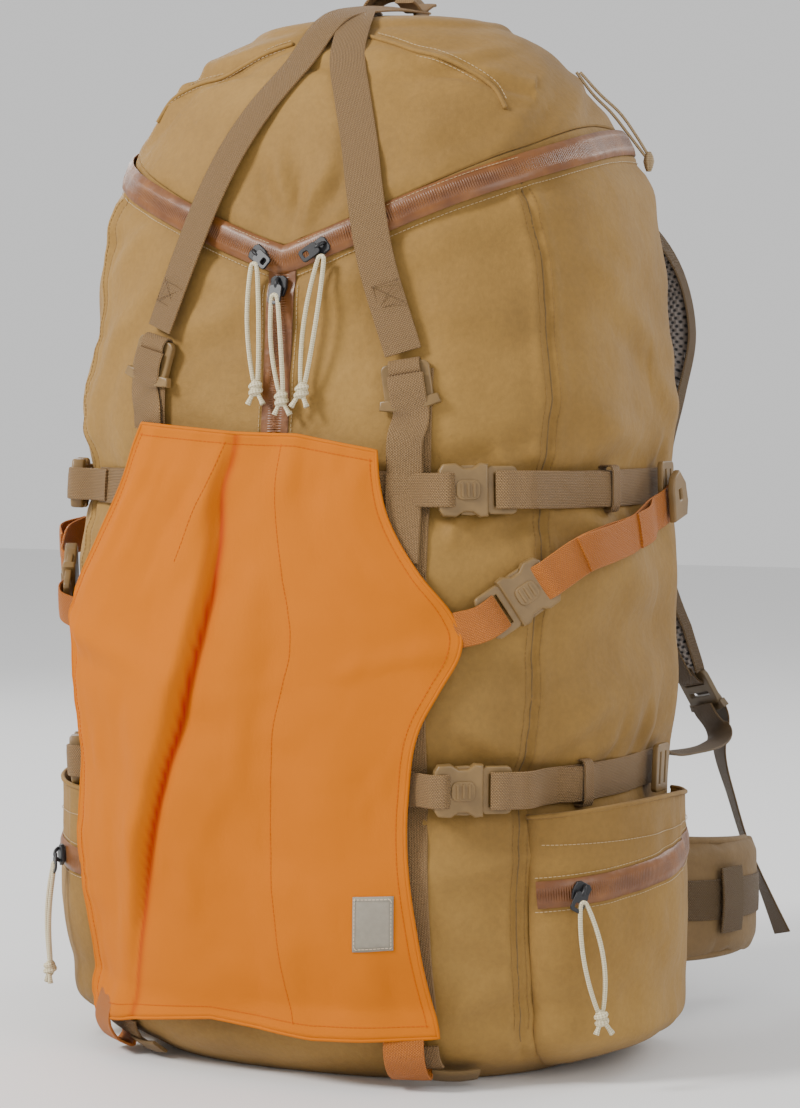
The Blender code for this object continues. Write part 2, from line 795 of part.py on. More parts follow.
def make_tension_lock(key, arc, z, tilt):
    """Flared ladder lock on the end of the lid strap."""
    frame = side_frame(arc, z, 0.0072, tilt)
    plate = box_bmesh((0.031, 0.027, 0.0046), (0, -0.010, 0), 0.0013)
    obj = place("tension_lock_" + key, plate, "plastic", frame)
    wings = [box_bmesh((0.0045, 0.013, 0.0040), (side * 0.0165, -0.0205, 0)) for side in (-1, 1)]
    cut(obj, wings, frame, "UNION")
    slots = [box_bmesh((0.0262, 0.0034, 0.02), (0, y, 0)) for y in (-0.004, -0.0130)]
    cut(obj, slots, frame)


def make_handle():
    """Grab loop on the crown of the lid."""
    points = []
    normals = []
    for i in range(11):
        t = i / 10
        angle = math.pi * t
        x = 0.002 - 0.020 * math.cos(angle)
        z = 0.7335 + 0.016 * math.sin(angle)
        points.append(Vector((x, 0.046, z)))
        normals.append(Vector((-math.cos(angle), 0, math.sin(angle) * 1.2)).normalized())
    return finish("haul_handle", band(points, normals, 0.024, 0.002), "webbing", (0.002, 0.046, 0.7335))


def slab(name, size, centre, kind, bevel, origin=None, segments=2):
    bm = bmesh.new()
    bmesh.ops.create_cube(bm, size=1)
    bmesh.ops.scale(bm, vec=size, verts=bm.verts)
    bmesh.ops.translate(bm, vec=centre, verts=bm.verts)
    bmesh.ops.bevel(bm, geom=bm.edges, offset=bevel, segments=segments, affect="EDGES", clamp_overlap=True)
    return finish(name, bm, kind, origin)


def make_back():
    slab("frame_sheet", (0.290, 0.0022, 0.550), (0, 0.1292, 0.330), "frame", 0.001, None, 1)
    slab("back_pad", (0.230, 0.012, 0.330), (0, 0.1368, 0.400), "mesh", 0.004)
    slab("lumbar_pad", (0.236, 0.018, 0.120), (0, 0.1398, 0.130), "mesh", 0.006)
    slab("yoke_plate", (0.150, 0.0050, 0.075), (0, 0.1462, 0.5300), "webbing", 0.0015, None, 1)


def pad_normals(path, sign):
    normals = []
    for i, tangent in enumerate(tangents_of(path)):
        t = i / (len(path) - 1)
        lean = Vector((sign * (0.25 + 0.25 * t), 1, 0))
        side = Vector((1, -sign * (0.25 + 0.25 * t), 0)).normalized()
        normal = side.cross(tangent)
        if normal.dot(lean) < 0 and i > 3:
            normal.negate()
        normals.append(normal.normalized())
    return normals


def make_shoulder(key, sign):
    nodes = [Vector((sign * x, y, z)) for x, y, z in PAD_PATH]
    path = smooth_path(nodes, 16)
    tangents = tangents_of(path)
    bm = bmesh.new()
    rings = []
    for i, (point, tangent) in enumerate(zip(path, tangents)):
        t = i / (len(path) - 1)
        side = Vector((1, -sign * (0.15 + 0.35 * t), 0))
        side = (side - tangent * side.dot(tangent)).normalized()
        up = side.cross(tangent).normalized()
        wide = PAD_WIDTH * (0.80 + 0.28 * math.sin(math.pi * min(1, t * 1.25)) - 0.12 * t) / 2
        thick = PAD_THICK / 2
        profile = [
            (-wide, 0),
            (-wide + 0.004, -thick),
            (0, -thick * 1.1),
            (wide - 0.004, -thick),
            (wide, 0),
            (wide - 0.004, thick),
            (0, thick * 1.1),
            (-wide + 0.004, thick),
        ]
        rings.append(add_ring(bm, [point + side * u + up * v for u, v in profile]))
    for first, second in zip(rings[:-1], rings[1:]):
        ring_faces(bm, first, second)
    bm.faces.new(rings[0])
    bm.faces.new(rings[-1])
    finish("shoulder_pad_" + key, bm, "mesh", HARNESS_HINGE)
    low = path[-1]
    down = (path[-1] - path[-2]).normalized()
    side = Vector((1, -sign * 0.5, 0))
    side = (side - down * side.dot(down)).normalized()
    out = down.cross(side).normalized()
    if out.y < 0:
        out.negate()
    across = out.cross(down).normalized()
    rows = Matrix((across, -down, out)).transposed().to_4x4()
    rows.translation = low + down * 0.0165
    lock = box_bmesh((0.033, 0.030, 0.005), (0, 0, 0), 0.0014)
    obj = place("shoulder_ladder_" + key, lock, "plastic", rows)
    slots = [box_bmesh((0.0262, 0.0040, 0.02), (0, y, 0)) for y in (-0.0085, 0.0010)]
    cut(obj, slots, rows)
    make_shoulder_web(key, sign, rows)


def make_shoulder_web(key, sign, rows):
    """One webbing: from the frame's lower corner up under the ladder lock, over it and down as a free tail."""
    front = -0.0050
    under = [rows @ Vector((0, y, front)) for y in (-0.024, -0.010)]
    anchor = Vector((sign * 0.160, 0.1335, 0.213))
    middle = Vector((sign * 0.170, 0.190, 0.196))
    bend = [rows @ Vector((0, -0.032, 0.001)), rows @ Vector((0, -0.030, 0.0055))]
    points = [anchor, middle] + under
    path = smooth_path(points, 9)
    normals = []
    for tangent in tangents_of(path):
        side = rows.to_3x3() @ Vector((1, 0, 0))
        normals.append(tangent.cross(side).normalized() * -1)
    obj = finish("shoulder_web_" + key, band(path, normals, WEBBING, WEBBING_THICK), "webbing")
    return obj, bend


def make_belt(key, sign):
    nodes = [Vector((sign * x, y, z)) for x, y, z in BELT_PATH]
    path = smooth_path(nodes, 12)
    bm = bmesh.new()
    rings = []
    for i, (point, tangent) in enumerate(zip(path, tangents_of(path))):
        t = i / (len(path) - 1)
        up = Vector((0, 0, 1))
        side = tangent.cross(up).normalized()
        tall = BELT_HEIGHT * (1 - 0.16 * t) / 2
        thick = BELT_THICK / 2
        profile = [
            (-tall, 0),
            (-tall + 0.004, -thick),
            (0, -thick * 1.1),
            (tall - 0.004, -thick),
            (tall, 0),
            (tall - 0.004, thick),
            (0, thick * 1.1),
            (-tall + 0.004, thick),
        ]
        rings.append(add_ring(bm, [point + up * u + side * v for u, v in profile]))
    for first, second in zip(rings[:-1], rings[1:]):
        ring_faces(bm, first, second)
    bm.faces.new(rings[0])
    bm.faces.new(rings[-1])
    finish("belt_wing_" + key, bm, "belt", (sign * BELT_HINGE_X, 0.141, 0.093))


def make_sternum():
    """Chest strap between the shoulder pads."""
    y = 0.2625
    points = [Vector((x, y + 0.018 - 0.018 * (x / 0.075) ** 2, 0.405)) for x in np.linspace(-0.075, 0.075, 9)]
    normals = [Vector((0, 1, 0))] * 9
    finish("sternum_strap", band(points, normals, 0.020, 0.0016), "webbing", HARNESS_HINGE)


def build():
    clear_scene()
    make_bag()
    make_lid()
    make_main_zip()
    make_sliders()
    for key, sign in (("left", -1), ("right", 1)):
        make_pocket("side_pocket_" + key, sign)
        make_pocket_zip(key, sign)
        make_shoulder(key, sign)
        make_belt(key, sign)
        make_panel_side(key, sign)
    make_sternum()
    make_panel()
    make_panel_loops()
    make_front_straps()
    make_front_webs()
    for key, z in (("upper", COMPRESSION_UPPER), ("lower", COMPRESSION_LOWER)):
        make_compression(key, 1, z, 0.146, 0.340)
        make_compression(key, -1, z, 0.222, 0.352)
    left = [
        ("top", -0.0138, 0.030),
        ("top", -0.0185, -0.030),
        ("on", -0.034, 0.657, 0.0012),
        ("on", -0.058, 0.600, 0.0040),
        ("on", -0.073, 0.557, 0.0062),
        ("on", -0.092, 0.507, 0.0052),
    ]
    right = [
        ("top", 0.0138, 0.030),
        ("top", 0.0185, -0.030),
        ("on", 0.038, 0.657, 0.0012),
        ("on", 0.056, 0.600, 0.0040),
        ("on", 0.067, 0.557, 0.0062),
        ("on", 0.090, 0.490, 0.0052),
    ]
    lid_strap("left", -1, left)
    lid_strap("right", 1, right)
    make_tension_lock("left", -0.094, 0.496, math.radians(-14))
    make_tension_lock("right", 0.092, 0.479, math.radians(9))
    make_handle()
    make_back()


build()
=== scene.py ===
import math

import bmesh
import bpy
import numpy as np
from mathutils import Matrix, Vector


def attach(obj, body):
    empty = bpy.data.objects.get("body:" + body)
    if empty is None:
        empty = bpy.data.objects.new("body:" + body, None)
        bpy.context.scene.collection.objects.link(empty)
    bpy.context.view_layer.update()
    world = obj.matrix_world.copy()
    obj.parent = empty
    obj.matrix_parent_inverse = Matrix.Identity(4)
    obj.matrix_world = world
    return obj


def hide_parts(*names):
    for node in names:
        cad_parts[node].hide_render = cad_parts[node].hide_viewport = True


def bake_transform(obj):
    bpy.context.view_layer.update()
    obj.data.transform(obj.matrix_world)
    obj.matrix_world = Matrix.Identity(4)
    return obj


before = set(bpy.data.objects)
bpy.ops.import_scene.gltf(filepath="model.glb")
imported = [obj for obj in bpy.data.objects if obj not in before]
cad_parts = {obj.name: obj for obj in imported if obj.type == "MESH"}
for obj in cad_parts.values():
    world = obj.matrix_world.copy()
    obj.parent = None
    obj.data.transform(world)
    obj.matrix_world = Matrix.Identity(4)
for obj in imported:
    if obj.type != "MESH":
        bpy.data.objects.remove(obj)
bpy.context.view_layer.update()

# camera
view = {"azimuth": 25.0, "distance": 2.2, "eyeHeight": 0.463, "shiftRight": 0.025, "tilt": 2.94,
    "lens": 139.5}


def newObject(name, data):
    obj = bpy.data.objects.new(name, data)
    bpy.context.scene.collection.objects.link(obj)
    return obj


def makeCamera(c):
    data = bpy.data.cameras.new("studioCamera")
    data.sensor_fit = "HORIZONTAL"
    data.sensor_width = 36
    data.lens = c["lens"]
    cam = newObject("studioCamera", data)
    a = math.radians(c["azimuth"])
    right = Vector((math.cos(a), math.sin(a), 0))
    ahead = Vector((-math.sin(a), math.cos(a), 0))
    cam.location = ahead * -c["distance"] + right * c["shiftRight"] + Vector((0, 0, c["eyeHeight"]))
    t = math.radians(c["tilt"])
    look = ahead * math.cos(t) - Vector((0, 0, math.sin(t)))
    cam.rotation_euler = look.to_track_quat("-Z", "Y").to_euler()
    bpy.context.scene.camera = cam


makeCamera(view)

# the outline of the bag, as the frame has it
# height, half width, front depth, back depth, front and back roundness
bagOutline = np.array([
    (0.000, 0.158, 0.130, 0.088, 2.4, 4.0), (0.015, 0.178, 0.152, 0.094, 2.5, 4.5),
    (0.060, 0.190, 0.166, 0.098, 2.6, 5.0), (0.180, 0.200, 0.176, 0.100, 2.6, 5.0),
    (0.300, 0.204, 0.176, 0.100, 2.6, 5.0), (0.420, 0.202, 0.166, 0.100, 2.6, 5.0),
    (0.500, 0.200, 0.158, 0.100, 2.6, 5.0), (0.560, 0.195, 0.150, 0.098, 2.6, 5.0),
    (0.610, 0.183, 0.139, 0.094, 2.6, 4.5), (0.650, 0.166, 0.124, 0.088, 2.5, 4.0),
    (0.690, 0.136, 0.098, 0.072, 2.4, 3.4), (0.715, 0.100, 0.070, 0.054, 2.3, 3.0),
    (0.727, 0.064, 0.044, 0.036, 2.2, 2.6), (0.731, 0.020, 0.014, 0.012, 2.1, 2.2)])
bagTop = 0.731
bagMiddle = 0.027


def smoothRead(xs, ys, x):
    x = np.asarray(x, float)
    i = np.clip(np.searchsorted(xs, x) - 1, 0, len(xs) - 2)
    h = xs[i + 1] - xs[i]
    t = (x - xs[i]) / h
    d = np.gradient(ys, xs)
    a = (2 * t**3 - 3 * t**2 + 1) * ys[i] + (t**3 - 2 * t**2 + t) * h * d[i]
    return a + (-2 * t**3 + 3 * t**2) * ys[i + 1] + (t**3 - t**2) * h * d[i + 1]


outlineSlopes = np.gradient(bagOutline[:, 1:], bagOutline[:, 0], axis=0)


def sectionAt(z):
    # Half width, front and back depth and both roundnesses of the outline at each height.
    z = np.asarray(z, float)
    i = np.clip(np.searchsorted(bagOutline[:, 0], z) - 1, 0, len(bagOutline) - 2)
    h = (bagOutline[i + 1, 0] - bagOutline[i, 0])[..., None]
    t = (z[..., None] - bagOutline[i, 0][..., None]) / h
    one, two = bagOutline[i, 1:], bagOutline[i + 1, 1:]
    line = (2 * t**3 - 3 * t**2 + 1) * one + (t**3 - 2 * t**2 + t) * h * outlineSlopes[i]
    line = line + (-2 * t**3 + 3 * t**2) * two + (t**3 - t**2) * h * outlineSlopes[i + 1]
    return np.moveaxis(line, -1, 0)


def outlineAt(angle, z):
    a, front, back, n, m = sectionAt(z)
    s, c = np.sin(angle), np.cos(angle)
    power = np.where(c >= 0, 2 / n, 2 / m)
    x = a * np.sign(s) * np.abs(s) ** power
    y = bagMiddle + np.where(c >= 0, -front, back) * np.abs(c) ** power
    return np.stack([x, y, z + 0 * x], -1)


def runAlong(points):
    # Distance from the start of a line to each of its points.
    return np.concatenate([[0], np.cumsum(np.linalg.norm(np.diff(points, axis=0), axis=1))])


def lengthOf(points):
    return float(runAlong(np.array([list(p) for p in points]))[-1])


ringAngles = np.linspace(-math.pi, math.pi, 1441)
tableHeights = np.linspace(0, bagTop, 367)
girthTable = np.zeros((367, 1441))
for row, height in enumerate(tableHeights):
    ringPoints = outlineAt(ringAngles, np.full(1441, height))
    run = runAlong(ringPoints)
    girthTable[row] = run - run[720]


def arcOf(angle, z):
    # Distance round the bag from the front middle.
    fz = np.clip(z / bagTop * 366, 0, 365.999)
    fa = np.clip((angle + math.pi) / (2 * math.pi) * 1440, 0, 1439.999)
    i, j = fz.astype(int), fa.astype(int)
    u, v = fz - i, fa - j
    g = girthTable
    return (g[i, j] * (1 - u) * (1 - v) + g[i + 1, j] * u * (1 - v) + g[i, j + 1] * (1 - u) * v
        + g[i + 1, j + 1] * u * v)


def angleOf(arc, z):
    f = min(max(z / bagTop * 366, 0), 365.999)
    i = int(f)
    line = girthTable[i] * (1 - f + i) + girthTable[i + 1] * (f - i)
    return float(np.interp(arc, line, ringAngles))


noiseGrids = {}


def softNoise(u, v, seed):
    # Smooth random field between -1 and 1 with a cell size of 1.
    if seed not in noiseGrids:
        noiseGrids[seed] = np.random.RandomState(seed).uniform(-1, 1, (97, 97))
    grid = noiseGrids[seed]
    u, v = np.asarray(u, float) + 37.3, np.asarray(v, float) + 41.7
    i, j = np.floor(u).astype(int), np.floor(v).astype(int)
    a, b = u - i, v - j
    a, b = a * a * a * (a * (a * 6 - 15) + 10), b * b * b * (b * (b * 6 - 15) + 10)
    g = lambda p, q: grid[p % 97, q % 97]
    return (g(i, j) * (1 - a) * (1 - b) + g(i + 1, j) * a * (1 - b) + g(i, j + 1) * (1 - a) * b
        + g(i + 1, j + 1) * a * b)


rimShape = {"front": 0.562, "rise": 0.086, "run": 0.30}


def rimHeight(arc):
    share = np.minimum(1.0, np.abs(arc) / rimShape["run"])
    return rimShape["front"] + rimShape["rise"] * np.sin(share * math.pi / 2) ** 1.15


# strokes pressed into or raised from the fabric: arc, height, turn in degrees, half length,
# half width and height, which is in mm
foldStrokes = [
    (0.215, 0.425, 8, 0.045, 0.010, 1.8), (0.250, 0.440, -14, 0.050, 0.012, 2.0),
        (0.205, 0.382, -22, 0.040, 0.010, 1.8),
    (0.240, 0.372, -36, 0.040, 0.011, 1.6), (0.150, 0.425, 14, 0.035, 0.009, -1.4),
        (0.140, 0.378, 28, 0.030, 0.009, 1.5),
    (0.205, 0.236, 24, 0.038, 0.010, 1.9), (0.230, 0.222, 12, 0.040, 0.008, 1.5),
        (0.150, 0.236, -30, 0.030, 0.009, 1.6),
    (0.280, 0.228, 74, 0.018, 0.006, 1.3), (0.298, 0.230, 80, 0.020, 0.006, -1.3),
        (0.262, 0.230, 70, 0.020, 0.006, -1.1),
    (0.312, 0.232, 86, 0.020, 0.006, 1.2), (0.300, 0.330, -8, 0.070, 0.016, 1.6),
        (0.270, 0.290, 12, 0.070, 0.018, -1.6),
    (0.300, 0.505, -20, 0.060, 0.014, 1.6), (0.240, 0.540, 24, 0.060, 0.014, 1.6),
        (0.330, 0.470, -36, 0.045, 0.012, 1.4),
    (0.120, 0.520, -12, 0.050, 0.014, 1.2), (-0.050, 0.515, 18, 0.045, 0.012, 1.2),
        (-0.130, 0.520, 40, 0.050, 0.012, 1.6),
    (-0.165, 0.470, 64, 0.050, 0.012, 1.5), (-0.150, 0.575, 30, 0.045, 0.010, -1.5),
        (-0.190, 0.560, 60, 0.045, 0.012, 1.6),
    (0.022, 0.602, 70, 0.020, 0.008, 2.0), (-0.008, 0.606, -66, 0.022, 0.008, 2.0),
        (0.007, 0.590, 88, 0.020, 0.006, -1.6),
    (-0.085, 0.690, 8, 0.050, 0.006, -2.4), (-0.080, 0.698, 10, 0.050, 0.007, 2.6),
        (-0.130, 0.668, 50, 0.030, 0.007, 1.8),
    (0.075, 0.688, 4, 0.050, 0.006, 1.9), (0.150, 0.640, 60, 0.040, 0.010, 1.4),
        (0.215, 0.668, 40, 0.040, 0.010, 1.3),
    (0.145, 0.150, 10, 0.030, 0.010, 1.5), (0.150, 0.100, -16, 0.035, 0.011, 1.4),
        (0.140, 0.060, 22, 0.035, 0.010, 1.6),
]


def seamArc(z):
    # The side seam leans forward at the top and the foot.
    return np.interp(z, [0.03, 0.16, 0.26, 0.46, 0.553, 0.62, 0.65],
        [0.170, 0.172, 0.181, 0.188, 0.180, 0.155, 0.148])


def puff(arc, z):
    # How far the stuffed fabric stands off the plain outline, in metres.
    arc, z = np.asarray(arc, float), np.asarray(z, float)
    side = np.abs(arc)
    d = 0.0030 * softNoise(arc / 0.11, z / 0.11, 3) + 0.0019 * softNoise(arc / 0.050, z / 0.055, 5)
    d = d + 0.0007 * softNoise(arc / 0.024, z / 0.018, 9)
    front = np.clip((0.40 - side) / 0.05, 0, 1)
    for level, deep in ((0.400, 0.0052), (0.204, 0.0056)):
        reach = np.clip((side - 0.06) / 0.05, 0, 1) * front
        d = d - deep * reach * np.exp(-((z - level) / 0.020) ** 2)
        d = d + 0.0052 * reach * np.exp(-((np.abs(z - level) - 0.058) / 0.030) ** 2)
        # gathers that run into the strap
        gather = np.sin(arc / 0.0062 + 3 * softNoise(arc / 0.03, z / 0.03, 21))
        near = np.exp(-((np.abs(z - level) - 0.020) / 0.013) ** 2)
        d = d + 0.0016 * gather * near * reach * (0.4 + 0.6 * softNoise(arc / 0.035, z / 0.05, 23))
    fromSeam = side - seamArc(z)
    seam = np.exp(-(fromSeam / 0.0026) ** 2)
    lips = np.exp(-((np.abs(fromSeam) - 0.0075) / 0.0040) ** 2)
    d = d + (0.0012 * lips - 0.0021 * seam) * np.clip(z / 0.03, 0, 1) * np.clip((0.615 - z) / 0.02, 0, 1)
    # small puckers along the side seam
    pucker = np.sin(z / 0.0034 + 2.5 * softNoise(z / 0.02, arc / 0.05, 31))
    d = d + 0.0011 * pucker * np.exp(-(fromSeam / 0.014) ** 2) * (0.5 + 0.5
        * softNoise(z / 0.05, arc / 0.1, 33))
    rim = rimHeight(arc)
    below = rim - z
    d = d - 0.0018 * np.exp(-((below - 0.0245) / 0.0035) ** 2)
    d = d + 0.0022 * np.exp(-((below - 0.040) / 0.014) ** 2) * front
    d = d + 0.0014 * np.exp(-((below + 0.012) / 0.009) ** 2) * front
    # piping where the crown of the lid meets its front
    crown = 0.687 - 0.25 * np.maximum(0, side - 0.07)
    d = d - 0.0020 * np.exp(-((z - crown) / 0.0034) ** 2) * (side < 0.16) + 0.0016 * np.exp(
        -((z - crown - 0.008) / 0.005) ** 2) * (side < 0.16)
    for a, h, turn, long, wide, high in foldStrokes:
        c, s = math.cos(math.radians(turn)), math.sin(math.radians(turn))
        u, v = (arc - a) * c + (z - h) * s, -(arc - a) * s + (z - h) * c
        bend = v - 0.12 * u * u / long
        lift = np.exp(-(bend / wide) ** 2) - 0.55 * np.exp(-((bend + 1.5 * wide) / (wide * 0.9)) ** 2)
        d = d + high * 0.0019 * np.exp(-(u / long) ** 2) * lift
    back = np.clip((side - 0.36) / 0.03, 0, 1)
    d = d * (1 - back)
    fade = np.clip(z / 0.02, 0, 1) * np.clip((bagTop - z) / 0.01, 0, 1)
    return d * fade


# one grid of points, normals and puff over the whole surface, read between its nodes
gridArcs = np.linspace(-0.72, 0.72, 1201)
gridPoints = np.array([outlineAt(np.interp(gridArcs, girthTable[k], ringAngles), np.full(1201, h)) for k,
    h in enumerate(tableHeights)])
gridAcross, gridUp = np.gradient(gridPoints, axis=1), np.gradient(gridPoints, axis=0)
gridNormals = np.cross(gridAcross, gridUp)
gridNormals /= np.linalg.norm(gridNormals, axis=2)[..., None] + 1e-15
gridPuff = puff(np.tile(gridArcs, (367, 1)), np.tile(tableHeights[:, None], (1, 1201)))
gridAll = np.concatenate([gridPoints, gridNormals, gridPuff[..., None]], axis=2)


def readGrid(arc, z):
    v, u = min(max(z / bagTop * 366, 0.0), 365.999), min(max((arc + 0.72) / 0.0012, 0.0), 1199.999)
    i, j = int(v), int(u)
    v, u = v - i, u - j
    near, far = gridAll[i], gridAll[i + 1]
    return (near[j] * (1 - u) + near[j + 1] * u) * (1 - v) + (far[j] * (1 - u) + far[j + 1] * u) * v


def bare(arc, z):
    return Vector(readGrid(arc, z)[:3])


def outward(arc, z):
    return Vector(readGrid(arc, z)[3:6]).normalized()


def at(arc, z, off=0.0, bumpy=1.0):
    r = readGrid(arc, z)
    return Vector(r[:3]) + Vector(r[3:6]).normalized() * (off + float(r[6]) * bumpy)


def sideFrame(arc, z, off, tilt=0.0):
    normal = outward(arc, z)
    along = (bare(arc + 0.004, z) - bare(arc - 0.004, z)).normalized()
    up = normal.cross(along).normalized()
    along = up.cross(normal).normalized()
    turn = Matrix.Rotation(tilt, 3, normal)
    rows = Matrix((turn @ along, turn @ up, normal)).transposed().to_4x4()
    rows.translation = bare(arc, z) + normal * off
    return rows


def crownHeight(x, y):
    low, high = 0.56, bagTop - 0.0002
    for _ in range(36):
        z = (low + high) / 2
        a, front, back, n, m = [float(v) for v in sectionAt(z)]
        dy = y - bagMiddle
        depth, power = (front, n) if dy < 0 else (back, m)
        inside = (abs(x) / a) ** power + (abs(dy) / depth) ** power < 1
        low, high = (z, high) if inside else (low, z)
    return low


def onCrown(x, y, off):
    e = 0.004
    dx = (crownHeight(x + e, y) - crownHeight(x - e, y)) / (2 * e)
    dy = (crownHeight(x, y + e) - crownHeight(x, y - e)) / (2 * e)
    normal = Vector((-dx, -dy, 1)).normalized()
    return Vector((x, y, crownHeight(x, y))) + normal * off, normal


# materials
def nodesOf(name):
    mat = bpy.data.materials.new(name)
    mat.use_nodes = True
    tree = mat.node_tree
    return mat, tree, tree.nodes["Principled BSDF"]


def mathOf(tree, operation, a, b=None):
    node = tree.nodes.new("ShaderNodeMath")
    node.operation = operation
    for slot, value in enumerate((a, b)):
        if value is None:
            continue
        if isinstance(value, (int, float)):
            node.inputs[slot].default_value = value
        else:
            tree.links.new(value, node.inputs[slot])
    return node.outputs[0]


def noiseOf(tree, source, scale, detail=3.0, rough=0.55):
    node = tree.nodes.new("ShaderNodeTexNoise")
    node.inputs["Scale"].default_value = scale
    node.inputs["Detail"].default_value = detail
    node.inputs["Roughness"].default_value = rough
    tree.links.new(source, node.inputs["Vector"])
    return node.outputs["Fac"]


def rampOf(tree, source, stops):
    node = tree.nodes.new("ShaderNodeValToRGB")
    ramp = node.color_ramp
    while len(ramp.elements) < len(stops):
        ramp.elements.new(0.5)
    for element, (place, colour) in zip(ramp.elements, stops):
        element.position = place
        element.color = (*colour, 1)
    tree.links.new(source, node.inputs["Fac"])
    return node.outputs["Color"]


def bumpOf(tree, height, strength, distance, before=None):
    node = tree.nodes.new("ShaderNodeBump")
    node.inputs["Strength"].default_value = strength
    node.inputs["Distance"].default_value = distance
    tree.links.new(height, node.inputs["Height"])
    if before is not None:
        tree.links.new(before, node.inputs["Normal"])
    return node.outputs["Normal"]


def mixColour(tree, factor, one, two, blend="MIX"):
    node = tree.nodes.new("ShaderNodeMix")
    node.data_type = "RGBA"
    node.blend_type = blend
    for socket, value in ((node.inputs[0], factor), (node.inputs[6], one), (node.inputs[7], two)):
        if isinstance(value, (int, float)):
            socket.default_value = value
        elif isinstance(value, tuple):
            socket.default_value = (*value, 1)
        else:
            tree.links.new(value, socket)
    return node.outputs[2]


def waveOf(tree, value, pitch):
    return mathOf(tree, "SINE", mathOf(tree, "MULTIPLY", value, 2 * math.pi / pitch))


def split(tree, source):
    parts = tree.nodes.new("ShaderNodeSeparateXYZ")
    tree.links.new(source, parts.inputs[0])
    return parts.outputs


def flatPlace(tree, uvName):
    # Position on the piece's own UV map, across and along.
    uv = tree.nodes.new("ShaderNodeUVMap")
    uv.uv_map = uvName
    return split(tree, uv.outputs[0])[:2]


def objectPlace(tree):
    return tree.nodes.new("ShaderNodeTexCoord").outputs["Object"]


def finish(shader, values):
    for key, value in values.items():
        shader.inputs[key].default_value = value


def wovenCloth(name, dark, mid, light, weave=0.0011, rough=0.72, sheen=0.25, uneven=1.0):
    # Plain woven nylon seen on object coordinates.
    mat, tree, shader = nodesOf(name)
    where = objectPlace(tree)
    cloud = noiseOf(tree, where, 7.0, 4.0)
    slub = noiseOf(tree, where, 260.0, 2.0)
    colour = rampOf(tree, cloud, [(0.30, dark), (0.52, mid), (0.75, light)])
    speck = rampOf(tree, slub, [(0.35, (0.80, 0.80, 0.80)), (0.65, (1.0, 1.0, 1.0))])
    colour = mixColour(tree, 0.45, colour, speck, "MULTIPLY")
    tree.links.new(colour, shader.inputs["Base Color"])
    x, y, z = split(tree, where)
    across = waveOf(tree, mathOf(tree, "ADD", x, y), weave)
    upward = waveOf(tree, z, weave)
    threads = mathOf(tree, "MULTIPLY", across, upward)
    fine = bumpOf(tree, threads, 0.16, 0.0003)
    crumple = noiseOf(tree, where, 38.0, 5.0, 0.6)
    tree.links.new(bumpOf(tree, crumple, 0.46 * uneven, 0.0042, fine), shader.inputs["Normal"])
    finish(shader, {"Roughness": rough, "Sheen Weight": sheen, "Sheen Roughness": 0.6,
        "Specular IOR Level": 0.32})
    return mat


def webbingCloth(name, dark, light, rib=0.0016, column=0.0021, rough=0.62):
    # Woven webbing on the strap's own UV map, in metres, with painted shade in the grooves of its weave.
    mat, tree, shader = nodesOf(name)
    u, v = flatPlace(tree, "strapUv")
    columns = waveOf(tree, u, column)
    shift = mathOf(tree, "MULTIPLY", mathOf(tree, "SIGN", columns), 0.25 * rib)
    ribs = waveOf(tree, mathOf(tree, "ADD", v, shift), rib)
    height = mathOf(tree, "ADD", mathOf(tree, "MULTIPLY", ribs, 0.5),
        mathOf(tree, "MULTIPLY", mathOf(tree, "ABSOLUTE", columns), 0.7))
    # painted shade: the colour follows the rib height, darker in the grooves between ribs and columns and
    # lighter on the raised weave
    shade = mathOf(tree, "ADD", mathOf(tree, "MULTIPLY", height, 0.30), 0.42)
    tree.links.new(rampOf(tree, shade, [(0.10, dark), (0.80, light)]), shader.inputs["Base Color"])
    tree.links.new(bumpOf(tree, height, 0.95, 0.0011), shader.inputs["Normal"])
    finish(shader, {"Roughness": rough, "Sheen Weight": 0.04})
    return mat


def mouldedPlastic(name, colour, rough=0.42, grain=900.0):
    mat, tree, shader = nodesOf(name)
    where = objectPlace(tree)
    tone = noiseOf(tree, where, 60.0, 3.0)
    low = tuple(c * 0.86 for c in colour)
    high = tuple(min(1, c * 1.12) for c in colour)
    tree.links.new(rampOf(tree, tone, [(0.35, low), (0.65, high)]), shader.inputs["Base Color"])
    tree.links.new(bumpOf(tree, noiseOf(tree, where, grain, 2.0), 0.10, 0.0003), shader.inputs["Normal"])
    finish(shader, {"Roughness": rough, "Specular IOR Level": 0.45})
    return mat


def coatedTape(name):
    # Glossy laminated zip tape on the strap UV map.
    mat, tree, shader = nodesOf(name)
    u, v = flatPlace(tree, "strapUv")
    where = objectPlace(tree)
    cloud = noiseOf(tree, where, 55.0, 3.0)
    colour = rampOf(tree, cloud, [(0.3, (0.125, 0.038, 0.005)), (0.6, (0.19, 0.064, 0.009)),
        (0.8, (0.25, 0.092, 0.016))])
    tree.links.new(colour, shader.inputs["Base Color"])
    ribs = waveOf(tree, v, 0.0017)
    middle = mathOf(tree, "SUBTRACT", 1.0, mathOf(tree, "MINIMUM",
        mathOf(tree, "MULTIPLY", mathOf(tree, "ABSOLUTE", u), 1 / 0.0055), 1.0))
    height = mathOf(tree, "MULTIPLY", ribs, middle)
    wave = bumpOf(tree, noiseOf(tree, where, 90.0, 2.0), 0.45, 0.002)
    tree.links.new(bumpOf(tree, height, 0.7, 0.0007, wave), shader.inputs["Normal"])
    finish(shader, {"Roughness": 0.42, "Coat Weight": 0.08, "Coat Roughness": 0.25})
    return mat


